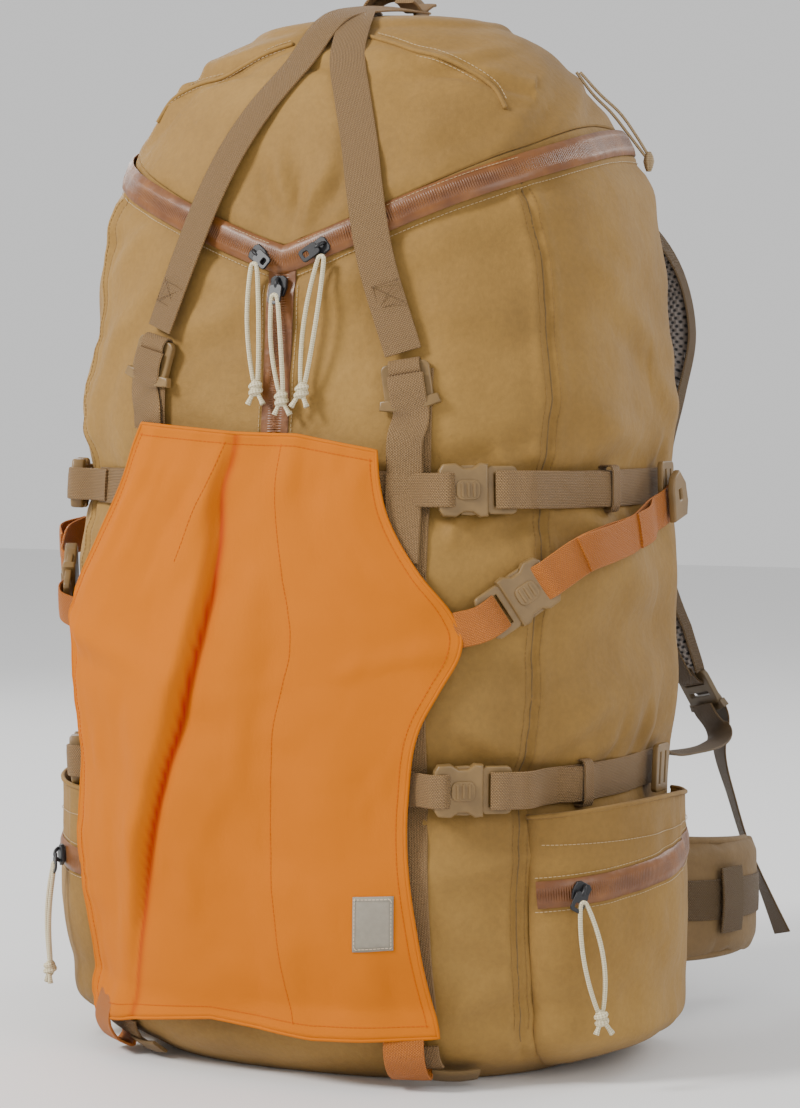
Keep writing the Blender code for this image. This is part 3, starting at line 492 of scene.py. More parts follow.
def spacerMesh(name, base=(0.175, 0.148, 0.130), holeShade=(0.012, 0.011, 0.012)):
    # Knitted spacer mesh with staggered holes, on the padUv map in metres; the holes are painted shade,
    # near-black, and the knit lightens away from them.
    mat, tree, shader = nodesOf(name)
    u, v = flatPlace(tree, "padUv")
    pitch = 0.0052
    row = mathOf(tree, "DIVIDE", v, pitch * 0.62)
    rowIndex = mathOf(tree, "FLOOR", row)
    odd = mathOf(tree, "MULTIPLY", mathOf(tree, "MODULO", mathOf(tree, "ABSOLUTE", rowIndex), 2.0), 0.5)
    col = mathOf(tree, "ADD", mathOf(tree, "DIVIDE", u, pitch), odd)
    du = mathOf(tree, "MULTIPLY", mathOf(tree, "SUBTRACT", mathOf(tree, "FRACT", col), 0.5), 1.0)
    dv = mathOf(tree, "MULTIPLY", mathOf(tree, "SUBTRACT", mathOf(tree, "FRACT", row), 0.5), 0.62)
    away = mathOf(tree, "SQRT", mathOf(tree, "ADD", mathOf(tree, "MULTIPLY", du, du),
        mathOf(tree, "MULTIPLY", dv, dv)))
    # painted shade: near-black in each hole, lightening to above the base colour between holes
    tone = rampOf(tree, away, [(0.16, holeShade), (0.26, base), (0.45, tuple(c * 1.25 for c in base))])
    tree.links.new(tone, shader.inputs["Base Color"])
    tree.links.new(bumpOf(tree, away, 0.9, 0.004), shader.inputs["Normal"])
    finish(shader, {"Roughness": 0.85, "Sheen Weight": 0.2})
    return mat


def braidCord(name, dark, light):
    mat, tree, shader = nodesOf(name)
    u, v = flatPlace(tree, "strapUv")
    a = mathOf(tree, "MULTIPLY", u, 2 * math.pi * 3)
    b = mathOf(tree, "MULTIPLY", v, 2 * math.pi / 0.0030)
    braid = mathOf(tree, "MULTIPLY", mathOf(tree, "SINE", mathOf(tree, "ADD", a, b)),
        mathOf(tree, "SINE", mathOf(tree, "SUBTRACT", a, b)))
    # painted shade: the colour follows the braid's relief, darker between the strands and lighter on their
    # crowns
    tree.links.new(rampOf(tree, mathOf(tree, "ADD", mathOf(tree, "MULTIPLY", braid, 0.5), 0.5),
        [(0.1, dark), (0.7, light)]), shader.inputs["Base Color"])
    tree.links.new(bumpOf(tree, braid, 0.5, 0.0005), shader.inputs["Normal"])
    finish(shader, {"Roughness": 0.7})
    return mat


def brightCloth(name, colour, deep, useCreaseShade=True):
    # High-visibility cloth, with painted shade: its colour is mixed to deep red where the panel folds over
    # itself, standing for the fold's shadow and its orange-on-orange bounce light.
    mat, tree, shader = nodesOf(name)
    where = objectPlace(tree)
    cloud = noiseOf(tree, where, 6.0, 3.0)
    tint = rampOf(tree, cloud, [(0.3, tuple(c * 0.94 for c in colour)), (0.7, colour)])
    if useCreaseShade:
        # painted shade: the crease mask mixes the colour towards the deep red of the fold's shadow
        crease = tree.nodes.new("ShaderNodeAttribute")
        crease.attribute_name = "crease"
        tint = mixColour(tree, crease.outputs["Fac"], tint, deep)
    tree.links.new(tint, shader.inputs["Base Color"])
    x, _, z = split(tree, where)
    weave = 0.0012
    threads = mathOf(tree, "MULTIPLY", waveOf(tree, x, weave), waveOf(tree, z, weave))
    fine = bumpOf(tree, threads, 0.12, 0.0003)
    tree.links.new(bumpOf(tree, noiseOf(tree, where, 24.0, 4.0), 0.28, 0.004, fine),
        shader.inputs["Normal"])
    finish(shader, {"Roughness": 0.70, "Specular IOR Level": 0.12})
    return mat


coyote = wovenCloth("coyoteNylon", (0.195, 0.102, 0.018), (0.265, 0.143, 0.028), (0.325, 0.183, 0.041),
    sheen=0.05)
coyoteDark = wovenCloth("liningNylon", (0.13, 0.075, 0.024), (0.16, 0.095, 0.032), (0.19, 0.115, 0.042),
    sheen=0.05)
beltCloth = wovenCloth("beltNylon", (0.150, 0.088, 0.032), (0.190, 0.115, 0.044), (0.230, 0.145, 0.058),
    0.0016, sheen=0.05)
# the dark colour of each webbing is the painted shade in its grooves
webbing = webbingCloth("tanWebbing", (0.110, 0.053, 0.013), (0.375, 0.212, 0.074))
harnessWebbing = webbingCloth("brownWebbing", (0.070, 0.038, 0.011), (0.170, 0.098, 0.032))
orangeWebbing = webbingCloth("orangeWebbing", (0.36, 0.075, 0.0), (0.62, 0.185, 0.002))
# the second colour is the deep red of the painted shade in the panel's folds
blaze = brightCloth("blazeNylon", (0.53, 0.138, 0.0), (0.34, 0.010, 0.0))
buckleTan = mouldedPlastic("tanAcetal", (0.190, 0.112, 0.038))
harnessPlastic = mouldedPlastic("brownAcetal", (0.13, 0.09, 0.045))
sliderBlack = mouldedPlastic("blackSlider", (0.010, 0.010, 0.012), 0.42)
frameBlack = mouldedPlastic("frameSheetBlack", (0.03, 0.03, 0.032), 0.5)
zipTape = coatedTape("copperZipTape")
padMesh = spacerMesh("greySpacerMesh")
creamCord = braidCord("creamCord", (0.42, 0.34, 0.19), (0.74, 0.66, 0.45))
tanCord = braidCord("tanCord", (0.26, 0.17, 0.08), (0.42, 0.30, 0.16))
threadTan = wovenCloth("tanThread", (0.40, 0.27, 0.13), (0.48, 0.34, 0.18), (0.55, 0.40, 0.22))
seamThread = wovenCloth("seamThread", (0.20, 0.11, 0.03), (0.24, 0.135, 0.04), (0.28, 0.16, 0.05),
    sheen=0.0)
darkThread = wovenCloth("darkThread", (0.10, 0.055, 0.02), (0.13, 0.075, 0.03), (0.16, 0.095, 0.04),
    sheen=0.0)
threadOrange = brightCloth("orangeThread", (0.52, 0.095, 0.0), (0.52, 0.05, 0.0), False)
labelGrey = wovenCloth("greyLabel", (0.20, 0.18, 0.14), (0.25, 0.225, 0.175), (0.29, 0.26, 0.21), 0.0008,
    0.8, 0.1, 0.2)
stitchPale = wovenCloth("paleStitch", (0.60, 0.46, 0.30), (0.66, 0.52, 0.36), (0.72, 0.58, 0.42))


# mesh helpers
def meshFrom(name, verts, faces, mat, uvs=None, uvName="strapUv", smooth=True):
    mesh = bpy.data.meshes.new(name)
    mesh.from_pydata([tuple(v) for v in verts], [], faces)
    mesh.update()
    if uvs is not None:
        layer = mesh.uv_layers.new(name=uvName)
        loops = np.empty(len(mesh.loops), np.int32)
        mesh.loops.foreach_get("vertex_index", loops)
        layer.data.foreach_set("uv", np.asarray(uvs, np.float32)[loops].ravel())
    if smooth:
        mesh.shade_smooth()
    obj = newObject(name, mesh)
    mesh.materials.append(mat)
    return obj


def quads(rows, columns):
    corners = [i * columns + j for i in range(rows - 1) for j in range(columns - 1)]
    return [(a, a + columns, a + columns + 1, a + 1) for a in corners]


def fixNormals(obj):
    bm = bmesh.new()
    bm.from_mesh(obj.data)
    bmesh.ops.recalc_face_normals(bm, faces=bm.faces)
    bm.to_mesh(obj.data)
    bm.free()


def spline(points, count):
    data = np.array([list(p) for p in points], float)
    run = runAlong(data)
    places = np.linspace(0, run[-1], count)
    return np.stack([smoothRead(run, data[:, k], places) for k in range(data.shape[1])], -1)


def tangents(points):
    t = np.gradient(np.asarray(points), axis=0)
    return t / np.linalg.norm(t, axis=1)[:, None]


def hose(rings, around):
    # Faces of a closed tube of rings, with a cap at each end.
    faces = []
    for i in range(rings - 1):
        for k in range(around):
            j = (k + 1) % around
            faces.append((i * around + k, i * around + j, (i + 1) * around + j, (i + 1) * around + k))
    faces.append(tuple(range(around)))
    faces.append(tuple(range((rings - 1) * around, rings * around)))
    return faces


def ribbon(name, points, normals, width, thick, mat, lip=0.0, taper=None, smoothAngle=50):
    # Strap with rounded edges. The points lie on its inner face.
    points, normals = np.asarray(points, float), np.asarray(normals, float)
    t = tangents(points)
    side = np.cross(normals, t)
    side /= np.linalg.norm(side, axis=1)[:, None]
    up = np.cross(t, side)
    h, r = width / 2, thick * 0.5
    profile = [(-h, r), (-h + r * 0.7, 0.0), (-h * 0.5, 0.0), (0, 0.0), (h * 0.5, 0.0), (h - r * 0.7, 0.0),
        (h, r),
               (h - r * 0.7, thick), (h * 0.5, thick + lip), (0, thick + lip), (-h * 0.5, thick + lip),
                   (-h + r * 0.7, thick)]
    run = runAlong(points)
    scale = np.ones(len(points)) if taper is None else np.asarray(taper)
    verts, uvs = [], []
    for i in range(len(points)):
        for a, b in profile:
            verts.append(points[i] + side[i] * a * scale[i] + up[i] * b)
            uvs.append((a, run[i]))
    obj = meshFrom(name, verts, hose(len(points), len(profile)), mat, uvs)
    fixNormals(obj)
    obj.data.set_sharp_from_angle(angle=math.radians(smoothAngle))
    return obj


def girthRibbon(name, places, width, thick, mat, count=40, bumpy=1.0):
    # Strap lying on the bag through (arc, height, off) places.
    path = spline(places, count)
    points = [at(a, z, off, bumpy) for a, z, off in path]
    normals = [outward(a, z) for a, z, off in path]
    return ribbon(name, points, normals, width, thick, mat)


def tube(name, points, radius, mat, sides=10, radii=None):
    points = np.asarray(points, float)
    t = tangents(points)
    normal = np.cross(t[0], (0.3, 0.2, 1.0))
    normal /= np.linalg.norm(normal)
    run = runAlong(points)
    verts, uvs = [], []
    for i in range(len(points)):
        normal = normal - t[i] * np.dot(normal, t[i])
        normal /= np.linalg.norm(normal)
        other = np.cross(t[i], normal)
        r = radius if radii is None else radii[i]
        for k in range(sides):
            a = 2 * math.pi * k / sides
            verts.append(points[i] + (normal * math.cos(a) + other * math.sin(a)) * r)
            uvs.append((k / sides, run[i]))
    obj = meshFrom(name, verts, hose(len(points), sides), mat, uvs)
    fixNormals(obj)
    return obj


def plateFrom(name, outlines, depth, round, mat, place, centre=0.0):
    # Flat moulding from closed outlines; the ones inside the first are holes.
    data = bpy.data.curves.new(name + "Shape", "CURVE")
    data.dimensions = "2D"
    data.fill_mode = "BOTH"
    data.extrude = max(depth / 2 - round, 0.0001)
    data.bevel_depth = round
    data.bevel_resolution = 2
    for outline in outlines:
        line = data.splines.new("POLY")
        line.points.add(len(outline) - 1)
        for point, (x, y) in zip(line.points, outline):
            point.co = (x, y, 0, 1)
        line.use_cyclic_u = True
    temp = newObject(name + "Temp", data)
    bpy.context.view_layer.update()
    mesh = bpy.data.meshes.new_from_object(temp.evaluated_get(bpy.context.evaluated_depsgraph_get()))
    bpy.data.objects.remove(temp)
    mesh.name = name
    mesh.transform(Matrix.Translation((0, 0, centre)))
    mesh.transform(place)
    obj = newObject(name, mesh)
    mesh.materials.clear()
    mesh.materials.append(mat)
    mesh.shade_smooth()
    mesh.set_sharp_from_angle(angle=math.radians(35))
    return obj


def roundedBox(cx, cy, w, h, r, steps=4):
    out = []
    for k, (sx, sy) in enumerate(((1, 1), (-1, 1), (-1, -1), (1, -1))):
        for i in range(steps + 1):
            a = math.pi / 2 * (k + i / steps)
            out.append((cx + sx * (w / 2 - r) + r * math.cos(a), cy + sy * (h / 2 - r) + r * math.sin(a)))
    return out


def joinAll(name, pieces):
    bm = bmesh.new()
    mats = []
    for piece in pieces:
        offset = {}
        for i, mat in enumerate(piece.data.materials):
            if mat not in mats:
                mats.append(mat)
            offset[i] = mats.index(mat)
        first = len(bm.faces)
        bm.from_mesh(piece.data)
        bm.faces.ensure_lookup_table()
        for face in bm.faces[first:]:
            face.material_index = offset.get(face.material_index, 0)
    mesh = bpy.data.meshes.new(name)
    bm.to_mesh(mesh)
    bm.free()
    for mat in mats:
        mesh.materials.append(mat)
    for piece in pieces:
        bpy.data.objects.remove(piece)
    obj = newObject(name, mesh)
    return obj


def stitchTree():
    # Stitches along a line: resample, put a small rod on each point, realise.
    tree = bpy.data.node_groups.new("stitchLine", "GeometryNodeTree")
    face = tree.interface
    face.new_socket("Geometry", in_out="INPUT", socket_type="NodeSocketGeometry")
    sizes = {}
    for key, value in (("pitch", 0.0032), ("stitchLength", 0.0023), ("stitchRadius", 0.00032)):
        socket = face.new_socket(key, in_out="INPUT", socket_type="NodeSocketFloat")
        socket.default_value = value
        sizes[key] = socket.identifier
    socket = face.new_socket("sides", in_out="INPUT", socket_type="NodeSocketInt")
    socket.default_value = 6
    sizes["sides"] = socket.identifier
    socket = face.new_socket("thread", in_out="INPUT", socket_type="NodeSocketMaterial")
    sizes["thread"] = socket.identifier
    face.new_socket("Geometry", in_out="OUTPUT", socket_type="NodeSocketGeometry")
    n, link = tree.nodes, tree.links.new
    start, end = n.new("NodeGroupInput"), n.new("NodeGroupOutput")
    curve = n.new("GeometryNodeMeshToCurve")
    resample = n.new("GeometryNodeResampleCurve")
    resample.mode = "LENGTH"
    rod = n.new("GeometryNodeMeshCylinder")
    align = n.new("FunctionNodeAlignRotationToVector")
    align.axis = "Z"
    tangent = n.new("GeometryNodeInputTangent")
    place = n.new("GeometryNodeInstanceOnPoints")
    real = n.new("GeometryNodeRealizeInstances")
    paint = n.new("GeometryNodeSetMaterial")
    link(start.outputs["Geometry"], curve.inputs["Mesh"])
    link(curve.outputs["Curve"], resample.inputs["Curve"])
    link(start.outputs["pitch"], resample.inputs["Length"])
    link(start.outputs["sides"], rod.inputs["Vertices"])
    link(start.outputs["stitchRadius"], rod.inputs["Radius"])
    link(start.outputs["stitchLength"], rod.inputs["Depth"])
    link(resample.outputs["Curve"], place.inputs["Points"])
    link(rod.outputs["Mesh"], place.inputs["Instance"])
    link(tangent.outputs["Tangent"], align.inputs["Vector"])
    link(align.outputs["Rotation"], place.inputs["Rotation"])
    link(place.outputs["Instances"], real.inputs["Geometry"])
    link(real.outputs["Geometry"], paint.inputs["Geometry"])
    link(start.outputs["thread"], paint.inputs["Material"])
    link(paint.outputs["Geometry"], end.inputs["Geometry"])
    return tree, sizes


stitchNodes, stitchSizes = stitchTree()


def sew(name, lines, mat, pitch=0.0032, long=0.0023, radius=0.00030, sides=6):
    # One mesh of stitches along all the given lines.
    verts, edges = [], []
    for line in lines:
        first = len(verts)
        verts += [tuple(p) for p in line]
        edges += [(first + i, first + i + 1) for i in range(len(line) - 1)]
    mesh = bpy.data.meshes.new(name + "Lines")
    mesh.from_pydata(verts, edges, [])
    temp = newObject(name + "Temp", mesh)
    mod = temp.modifiers.new("stitches", "NODES")
    mod.node_group = stitchNodes
    mod[stitchSizes["pitch"]] = pitch
    mod[stitchSizes["stitchLength"]] = long
    mod[stitchSizes["stitchRadius"]] = radius
    mod[stitchSizes["sides"]] = sides
    mod[stitchSizes["thread"]] = mat
    bpy.context.view_layer.update()
    done = bpy.data.meshes.new_from_object(temp.evaluated_get(bpy.context.evaluated_depsgraph_get()))
    bpy.data.objects.remove(temp)
    done.name = name
    if not done.materials:
        done.materials.append(mat)
    obj = newObject(name, done)
    return obj


def lineOnBag(places, off=0.0006, count=60):
    path = spline(places, count)
    return [at(a, z, off) for a, z in path]


def keep(obj, body, node, replace=True):
    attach(obj, body)
    if replace:
        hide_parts(node)
    return obj


# bag and lid
def clothShell(name, rows, columns, inset, low, high, mat, closeTop=False):
    # Grid of fabric from low(arc) to high(arc); a lining has an inset and faces inwards.
    ref = girthTable[175]
    w = -1 + 2 * np.arange(columns) / columns
    w = w * (0.80 + 0.20 * np.abs(w) ** 3)
    angles = np.interp(w * ref[-1], ref, ringAngles)
    t = np.linspace(0, 1, rows)
    turns = np.tile(angles, (rows, 1))
    lo, hi = low(w * 0.55), high(w * 0.55)
    heights = lo + (hi - lo) * t[:, None]
    base = outlineAt(turns, heights)
    e = 1e-3
    up = outlineAt(turns, np.minimum(heights + e, bagTop)) - outlineAt(turns, np.maximum(heights - e, 0))
    along = outlineAt(turns + 0.004, heights) - outlineAt(turns - 0.004, heights)
    normal = np.cross(along, up)
    normal /= np.linalg.norm(normal, axis=2)[..., None] + 1e-12
    deeper = inset * (1 + 1.3 * np.clip(np.minimum(hi - heights, heights - lo) / 0.03, 0, 1))
    cloth = base + normal * (puff(arcOf(turns, heights), heights) - deeper)[..., None]
    faces = []
    for i in range(rows - 1):
        for j in range(columns):
            k = (j + 1) % columns
            faces.append((i * columns + j, i * columns + k, (i + 1) * columns + k, (i + 1) * columns + j))
    verts = list(cloth.reshape(-1, 3))
    if closeTop:
        verts.append(cloth[-1].mean(0))
        faces += [((rows - 1) * columns + j, (rows - 1) * columns + (j + 1) % columns, len(verts) - 1)
            for j in range(columns)]
    else:
        verts.append(np.array([0, bagMiddle, float(cloth[0, :, 2].mean())]))
        faces += [((j + 1) % columns, j, len(verts) - 1) for j in range(columns)]
    if inset:
        faces = [f[::-1] for f in faces]
    return meshFrom(name, verts, faces, mat), cloth[-1] if not closeTop else cloth[0]


def rimBinding(name, outer, inner, body, node):
    # Folded edge that joins the outer cloth to the lining.
    n = len(outer)
    step = n / len(inner)
    inside = np.array([inner[int(i / step) % len(inner)] for i in range(n)])
    middle = (outer + inside) / 2
    path = [Vector(p) for p in middle] + [Vector(middle[0])]
    keep(tube(name, path, 0.0013, coyote, 6), body, node, False)


bag, bagEdge = clothShell("bagCloth", 168, 560, 0.0, lambda a: 0.0 * a, lambda a: rimHeight(a) - 0.0002,
    coyote)
bagLining, liningEdge = clothShell("bagLining", 50, 112, 0.0026, lambda a: 0.0 * a + 0.0030,
    lambda a: rimHeight(a) - 0.0002, coyoteDark)
lid, lidEdge = clothShell("lidCloth", 96, 560, 0.0, lambda a: rimHeight(a) + 0.0022,
    lambda a: bagTop - 0.0004 + 0 * a, coyote, True)
lidLining, lidLiningEdge = clothShell("lidLining", 30, 112, 0.0026, lambda a: rimHeight(a) + 0.0022,
    lambda a: bagTop - 0.0060 + 0 * a, coyoteDark, True)
keep(bag, "bag", "bag_shell")
keep(bagLining, "bag", "bag_shell", False)
keep(lid, "lid", "top_lid")
keep(lidLining, "lid", "top_lid", False)
rimBinding("bagRim", bagEdge, liningEdge, "bag", "bag_shell")
rimBinding("lidRim", lidEdge, lidLiningEdge, "lid", "top_lid")
print("bag and lid made")

# zip tapes
zipLook = {"tape": 0.0195, "centre": 0.0205, "off": 0.0012}
zipMiddle = zipLook["tape"] / 2 - 0.0008


def rimDrop(a, drop):
    # Height at a distance below the V of the mouth.
    return float(rimHeight(np.array(a))) - drop


def zipArm(name, arcs):
    points = [at(a, rimDrop(a, zipMiddle), zipLook["off"], 0.6) for a in arcs]
    normals = [outward(a, rimDrop(a, zipMiddle)) for a in arcs]
    return ribbon(name, points, normals, zipLook["tape"], 0.0013, zipTape, 0.0012)


arms = [zipArm("zipArmLeft", np.linspace(-0.345, 0.004, 110)),
    zipArm("zipArmRight", np.linspace(-0.004, 0.345, 110))]
centrePath = [(0.0, z, zipLook["off"] - 0.0005) for z in np.linspace(0.548, 0.034, 12)]
arms.append(girthRibbon("zipCentre", centrePath, zipLook["centre"], 0.0012, zipTape, 120, 0.8))
# rounded ribs of the coil that show through the laminate, set as sunken discs
ribLines = []
for sign in (-1, 1):
    arcs = np.linspace(sign * 0.003, sign * 0.338, 200)
    ribLines.append([at(a, rimDrop(a, zipMiddle), zipLook["off"] - 0.0020, 0.6) for a in arcs])
ribLines.append([at(0.0, z, zipLook["off"] - 0.0024, 0.8) for z in np.linspace(0.540, 0.040, 240)])
zipRibs = sew("zipRibs", ribLines, zipTape, 0.0025, 0.0011, 0.0034, 16)
keep(zipRibs, "bag", "main_zip", False)
mainZip = joinAll("mainZipTape", arms)
keep(mainZip, "bag", "main_zip")

edges = []
for sign in (-1, 1):
    for drop in (0.0010, zipLook["tape"] + 0.0030):
        arcs = np.linspace(sign * 0.012, sign * 0.340, 90)
        edges.append([at(a, rimDrop(a, drop), 0.0008 if drop > 0.01 else 0.0026, 0.8) for a in arcs])
    edges.append(lineOnBag([(sign * 0.0125, 0.535), (sign * 0.0125, 0.300), (sign * 0.0125, 0.040)], 0.0008,
        160))
zipStitch = sew("zipStitches", edges, threadTan, 0.0030, 0.0021, 0.00024)
keep(zipStitch, "bag", "main_zip", False)

seams = []
for sign in (-1, 1):
    for shift in (-0.0052, 0.0050):
        seams.append([at(sign * (float(seamArc(z)) + shift), z, 0.0004)
            for z in np.linspace(0.600, 0.040, 220)])
# painted shade: a thin tube of the darker lining cloth sunk along each side seam, darkening the seam's
# valley
for sign, label in ((-1, "Left"), (1, "Right")):
    valley = [at(sign * float(seamArc(z)), z, -0.0003) for z in np.linspace(0.612, 0.030, 160)]
    line = tube("seamLine" + label, valley, 0.0007, coyoteDark, 6)
    keep(line, "bag", "bag_shell", False)
seamStitch = sew("sideSeamStitches", seams, seamThread, 0.0032, 0.0022, 0.00020)
keep(seamStitch, "bag", "bag_shell", False)


print("zips made")

# sliders and their cord pulls
sliderShape = {"length": 0.0125, "width": 0.0105}


def sliderPiece(name, node, body, place, turn=0.0):
    m = place @ Matrix.Rotation(turn, 4, "Z")
    long, wide = sliderShape["length"], sliderShape["width"]
    base = plateFrom(name + "Base", [[(-wide * 0.32, -long / 2), (wide * 0.32, -long / 2),
        (wide / 2, -long * 0.1), (wide / 2, long * 0.38), (wide * 0.3, long / 2), (-wide * 0.3, long / 2),
        (-wide / 2, long * 0.38), (-wide / 2, -long * 0.1)]], 0.0030, 0.0006, sliderBlack, m, 0.0016)
    arch = tube(name + "Arch", [m @ Vector((0, -0.0052 + 0.0104 * t,
        0.0026 + 0.0040 * math.sin(math.pi * t) ** 0.6)) for t in np.linspace(0.02, 0.98, 12)], 0.0013,
        sliderBlack, 8)
    puller = plateFrom(name + "Puller", [roundedBox(0, -0.0075, 0.0086, 0.0130, 0.002),
        roundedBox(0, -0.0100, 0.0050, 0.0045, 0.0015)], 0.0016, 0.0004, sliderBlack,
        m @ Matrix.Rotation(math.radians(-8), 4, "X"), 0.0062)
    obj = joinAll(name, [base, arch, puller])
    keep(obj, body, node)
    return obj


def pullCord(name, node, body, start, end, side, bow, normal, thick=0.0031):
    # Two legs of cord that hang from the slider to one knot, with two short tails.
    legs = []
    for sign, label in ((-1, "A"), (1, "B")):
        points = []
        for t in np.linspace(0, 1, 24):
            sway = sign * (0.0021 + bow * math.sin(math.pi * t) ** 0.8 - 0.0008 * t)
            drop = start.lerp(end, t) + side * sway + normal * (0.0035 * math.sin(math.pi * t)
                * (1 if sign > 0 else 0.6))
            points.append(drop)
        leg = tube(f"{name}{label}", points, thick / 2, creamCord, 12)
        legs.append((leg, points))
    along = (end - start).normalized()
    turns = []
    for t in np.linspace(0, 1, 40):
        a = 2 * math.pi * 1.6 * t
        turns.append(end + along * (0.0008 + 0.0068 * t) + (side * math.cos(a) + normal * math.sin(a))
            * 0.0031)
    knot = tube(name + "KnotTurns", turns, thick * 0.62, creamCord, 10)
    core = tube(name + "KnotCore", [end + along * d for d in (-0.002, 0.0, 0.003, 0.006, 0.009)], 0.0026,
        creamCord, 10, [0.0018, 0.0034, 0.0042, 0.0036, 0.0022])
    tails = []
    for sign in (-1, 1):
        pts = [end + along * (0.006 + 0.0085 * t) + side * sign * (0.0012 + 0.0046 * t) + normal * 0.0008
            for t in np.linspace(0, 1, 6)]
        tails.append(tube(name + "Tail", pts, thick * 0.52, creamCord, 8,
            [thick * 0.5] * 4 + [thick * 0.58, thick * 0.66]))
    knotPiece = joinAll(name + "Knot", [knot, core] + tails)
    loop = tube(name + "Bight", [start + side * 0.0021 * math.cos(a) - along * 0.0021 * math.sin(a)
        for a in np.linspace(math.pi, 0, 9)], thick / 2, creamCord, 10)
    knotPiece = joinAll(name + "Knot", [knotPiece, loop])
    for piece in [leg for leg, _ in legs] + [knotPiece]:
        keep(piece, body, node, piece is legs[0][0])


for key, arc, turn, tip in (("left", -0.017, 0.9, (-0.012, 0.470)), ("middle", 0.0, 0.0, (0.008, 0.463)),
        ("right", 0.028, -0.9, (0.024, 0.468))):
    z = 0.535 if key == "middle" else rimDrop(arc, 0.0115)
    place = sideFrame(arc, z, 0.0037 if key == "middle" else 0.0031)
    sliderPiece("slider" + key.capitalize(), "zip_slider_" + key, "zip_slider_" + key, place, turn)
    start = place @ Vector((0.004 * (1 if key == "right" else 0), -0.009, 0.0075))
    end = at(tip[0], tip[1], 0.0085)
    normal = outward(arc, 0.51)
    side = Vector((1, 0, 0))
    pullCord("pull" + key.capitalize(), "zip_cord_" + key, "zip_slider_" + key, start, end, side,
        0.0030 if key != "middle" else 0.0022, normal)
print("front sliders made")


# side pockets
pocketCut = {"front": 0.178, "back": 0.372, "top": 0.178, "depth": 0.030, "gap": 0.0026}


def beside(arc, z, off):
    normal = outward(arc, z)
    normal.z = 0
    return bare(arc, z) + normal.normalized() * off


def pocketBulge(q, z):
    upper = min(1.0, max(0.0, z / 0.03))
    top = 1 - 0.25 * max(0.0, (z - 0.10) / 0.08)
    return pocketCut["depth"] * (math.sin(math.pi * min(max(q, 0), 1)) ** 0.55) * (0.55 + 0.45
        * upper) * top


def pocketPoint(sign, q, z, extra):
    arc = pocketCut["front"] + (pocketCut["back"] - pocketCut["front"]) * q
    fold = 0.0
    if extra > 0.003:
        fold = 0.0022 * float(softNoise(q / 0.22, z / 0.05, 61 + sign)) + 0.0010 * float(softNoise(q / 0.08,
            z / 0.025, 71 + sign))
        fold *= math.sin(math.pi * min(max(q, 0), 1)) ** 0.5
        edge = math.exp(-((z - (0.132 + 0.020 * q)) / 0.012) ** 2)
        fold -= 0.0012 * edge
    return beside(sign * arc, z, pocketCut["gap"] + extra + fold + pocketBulge(q, z))


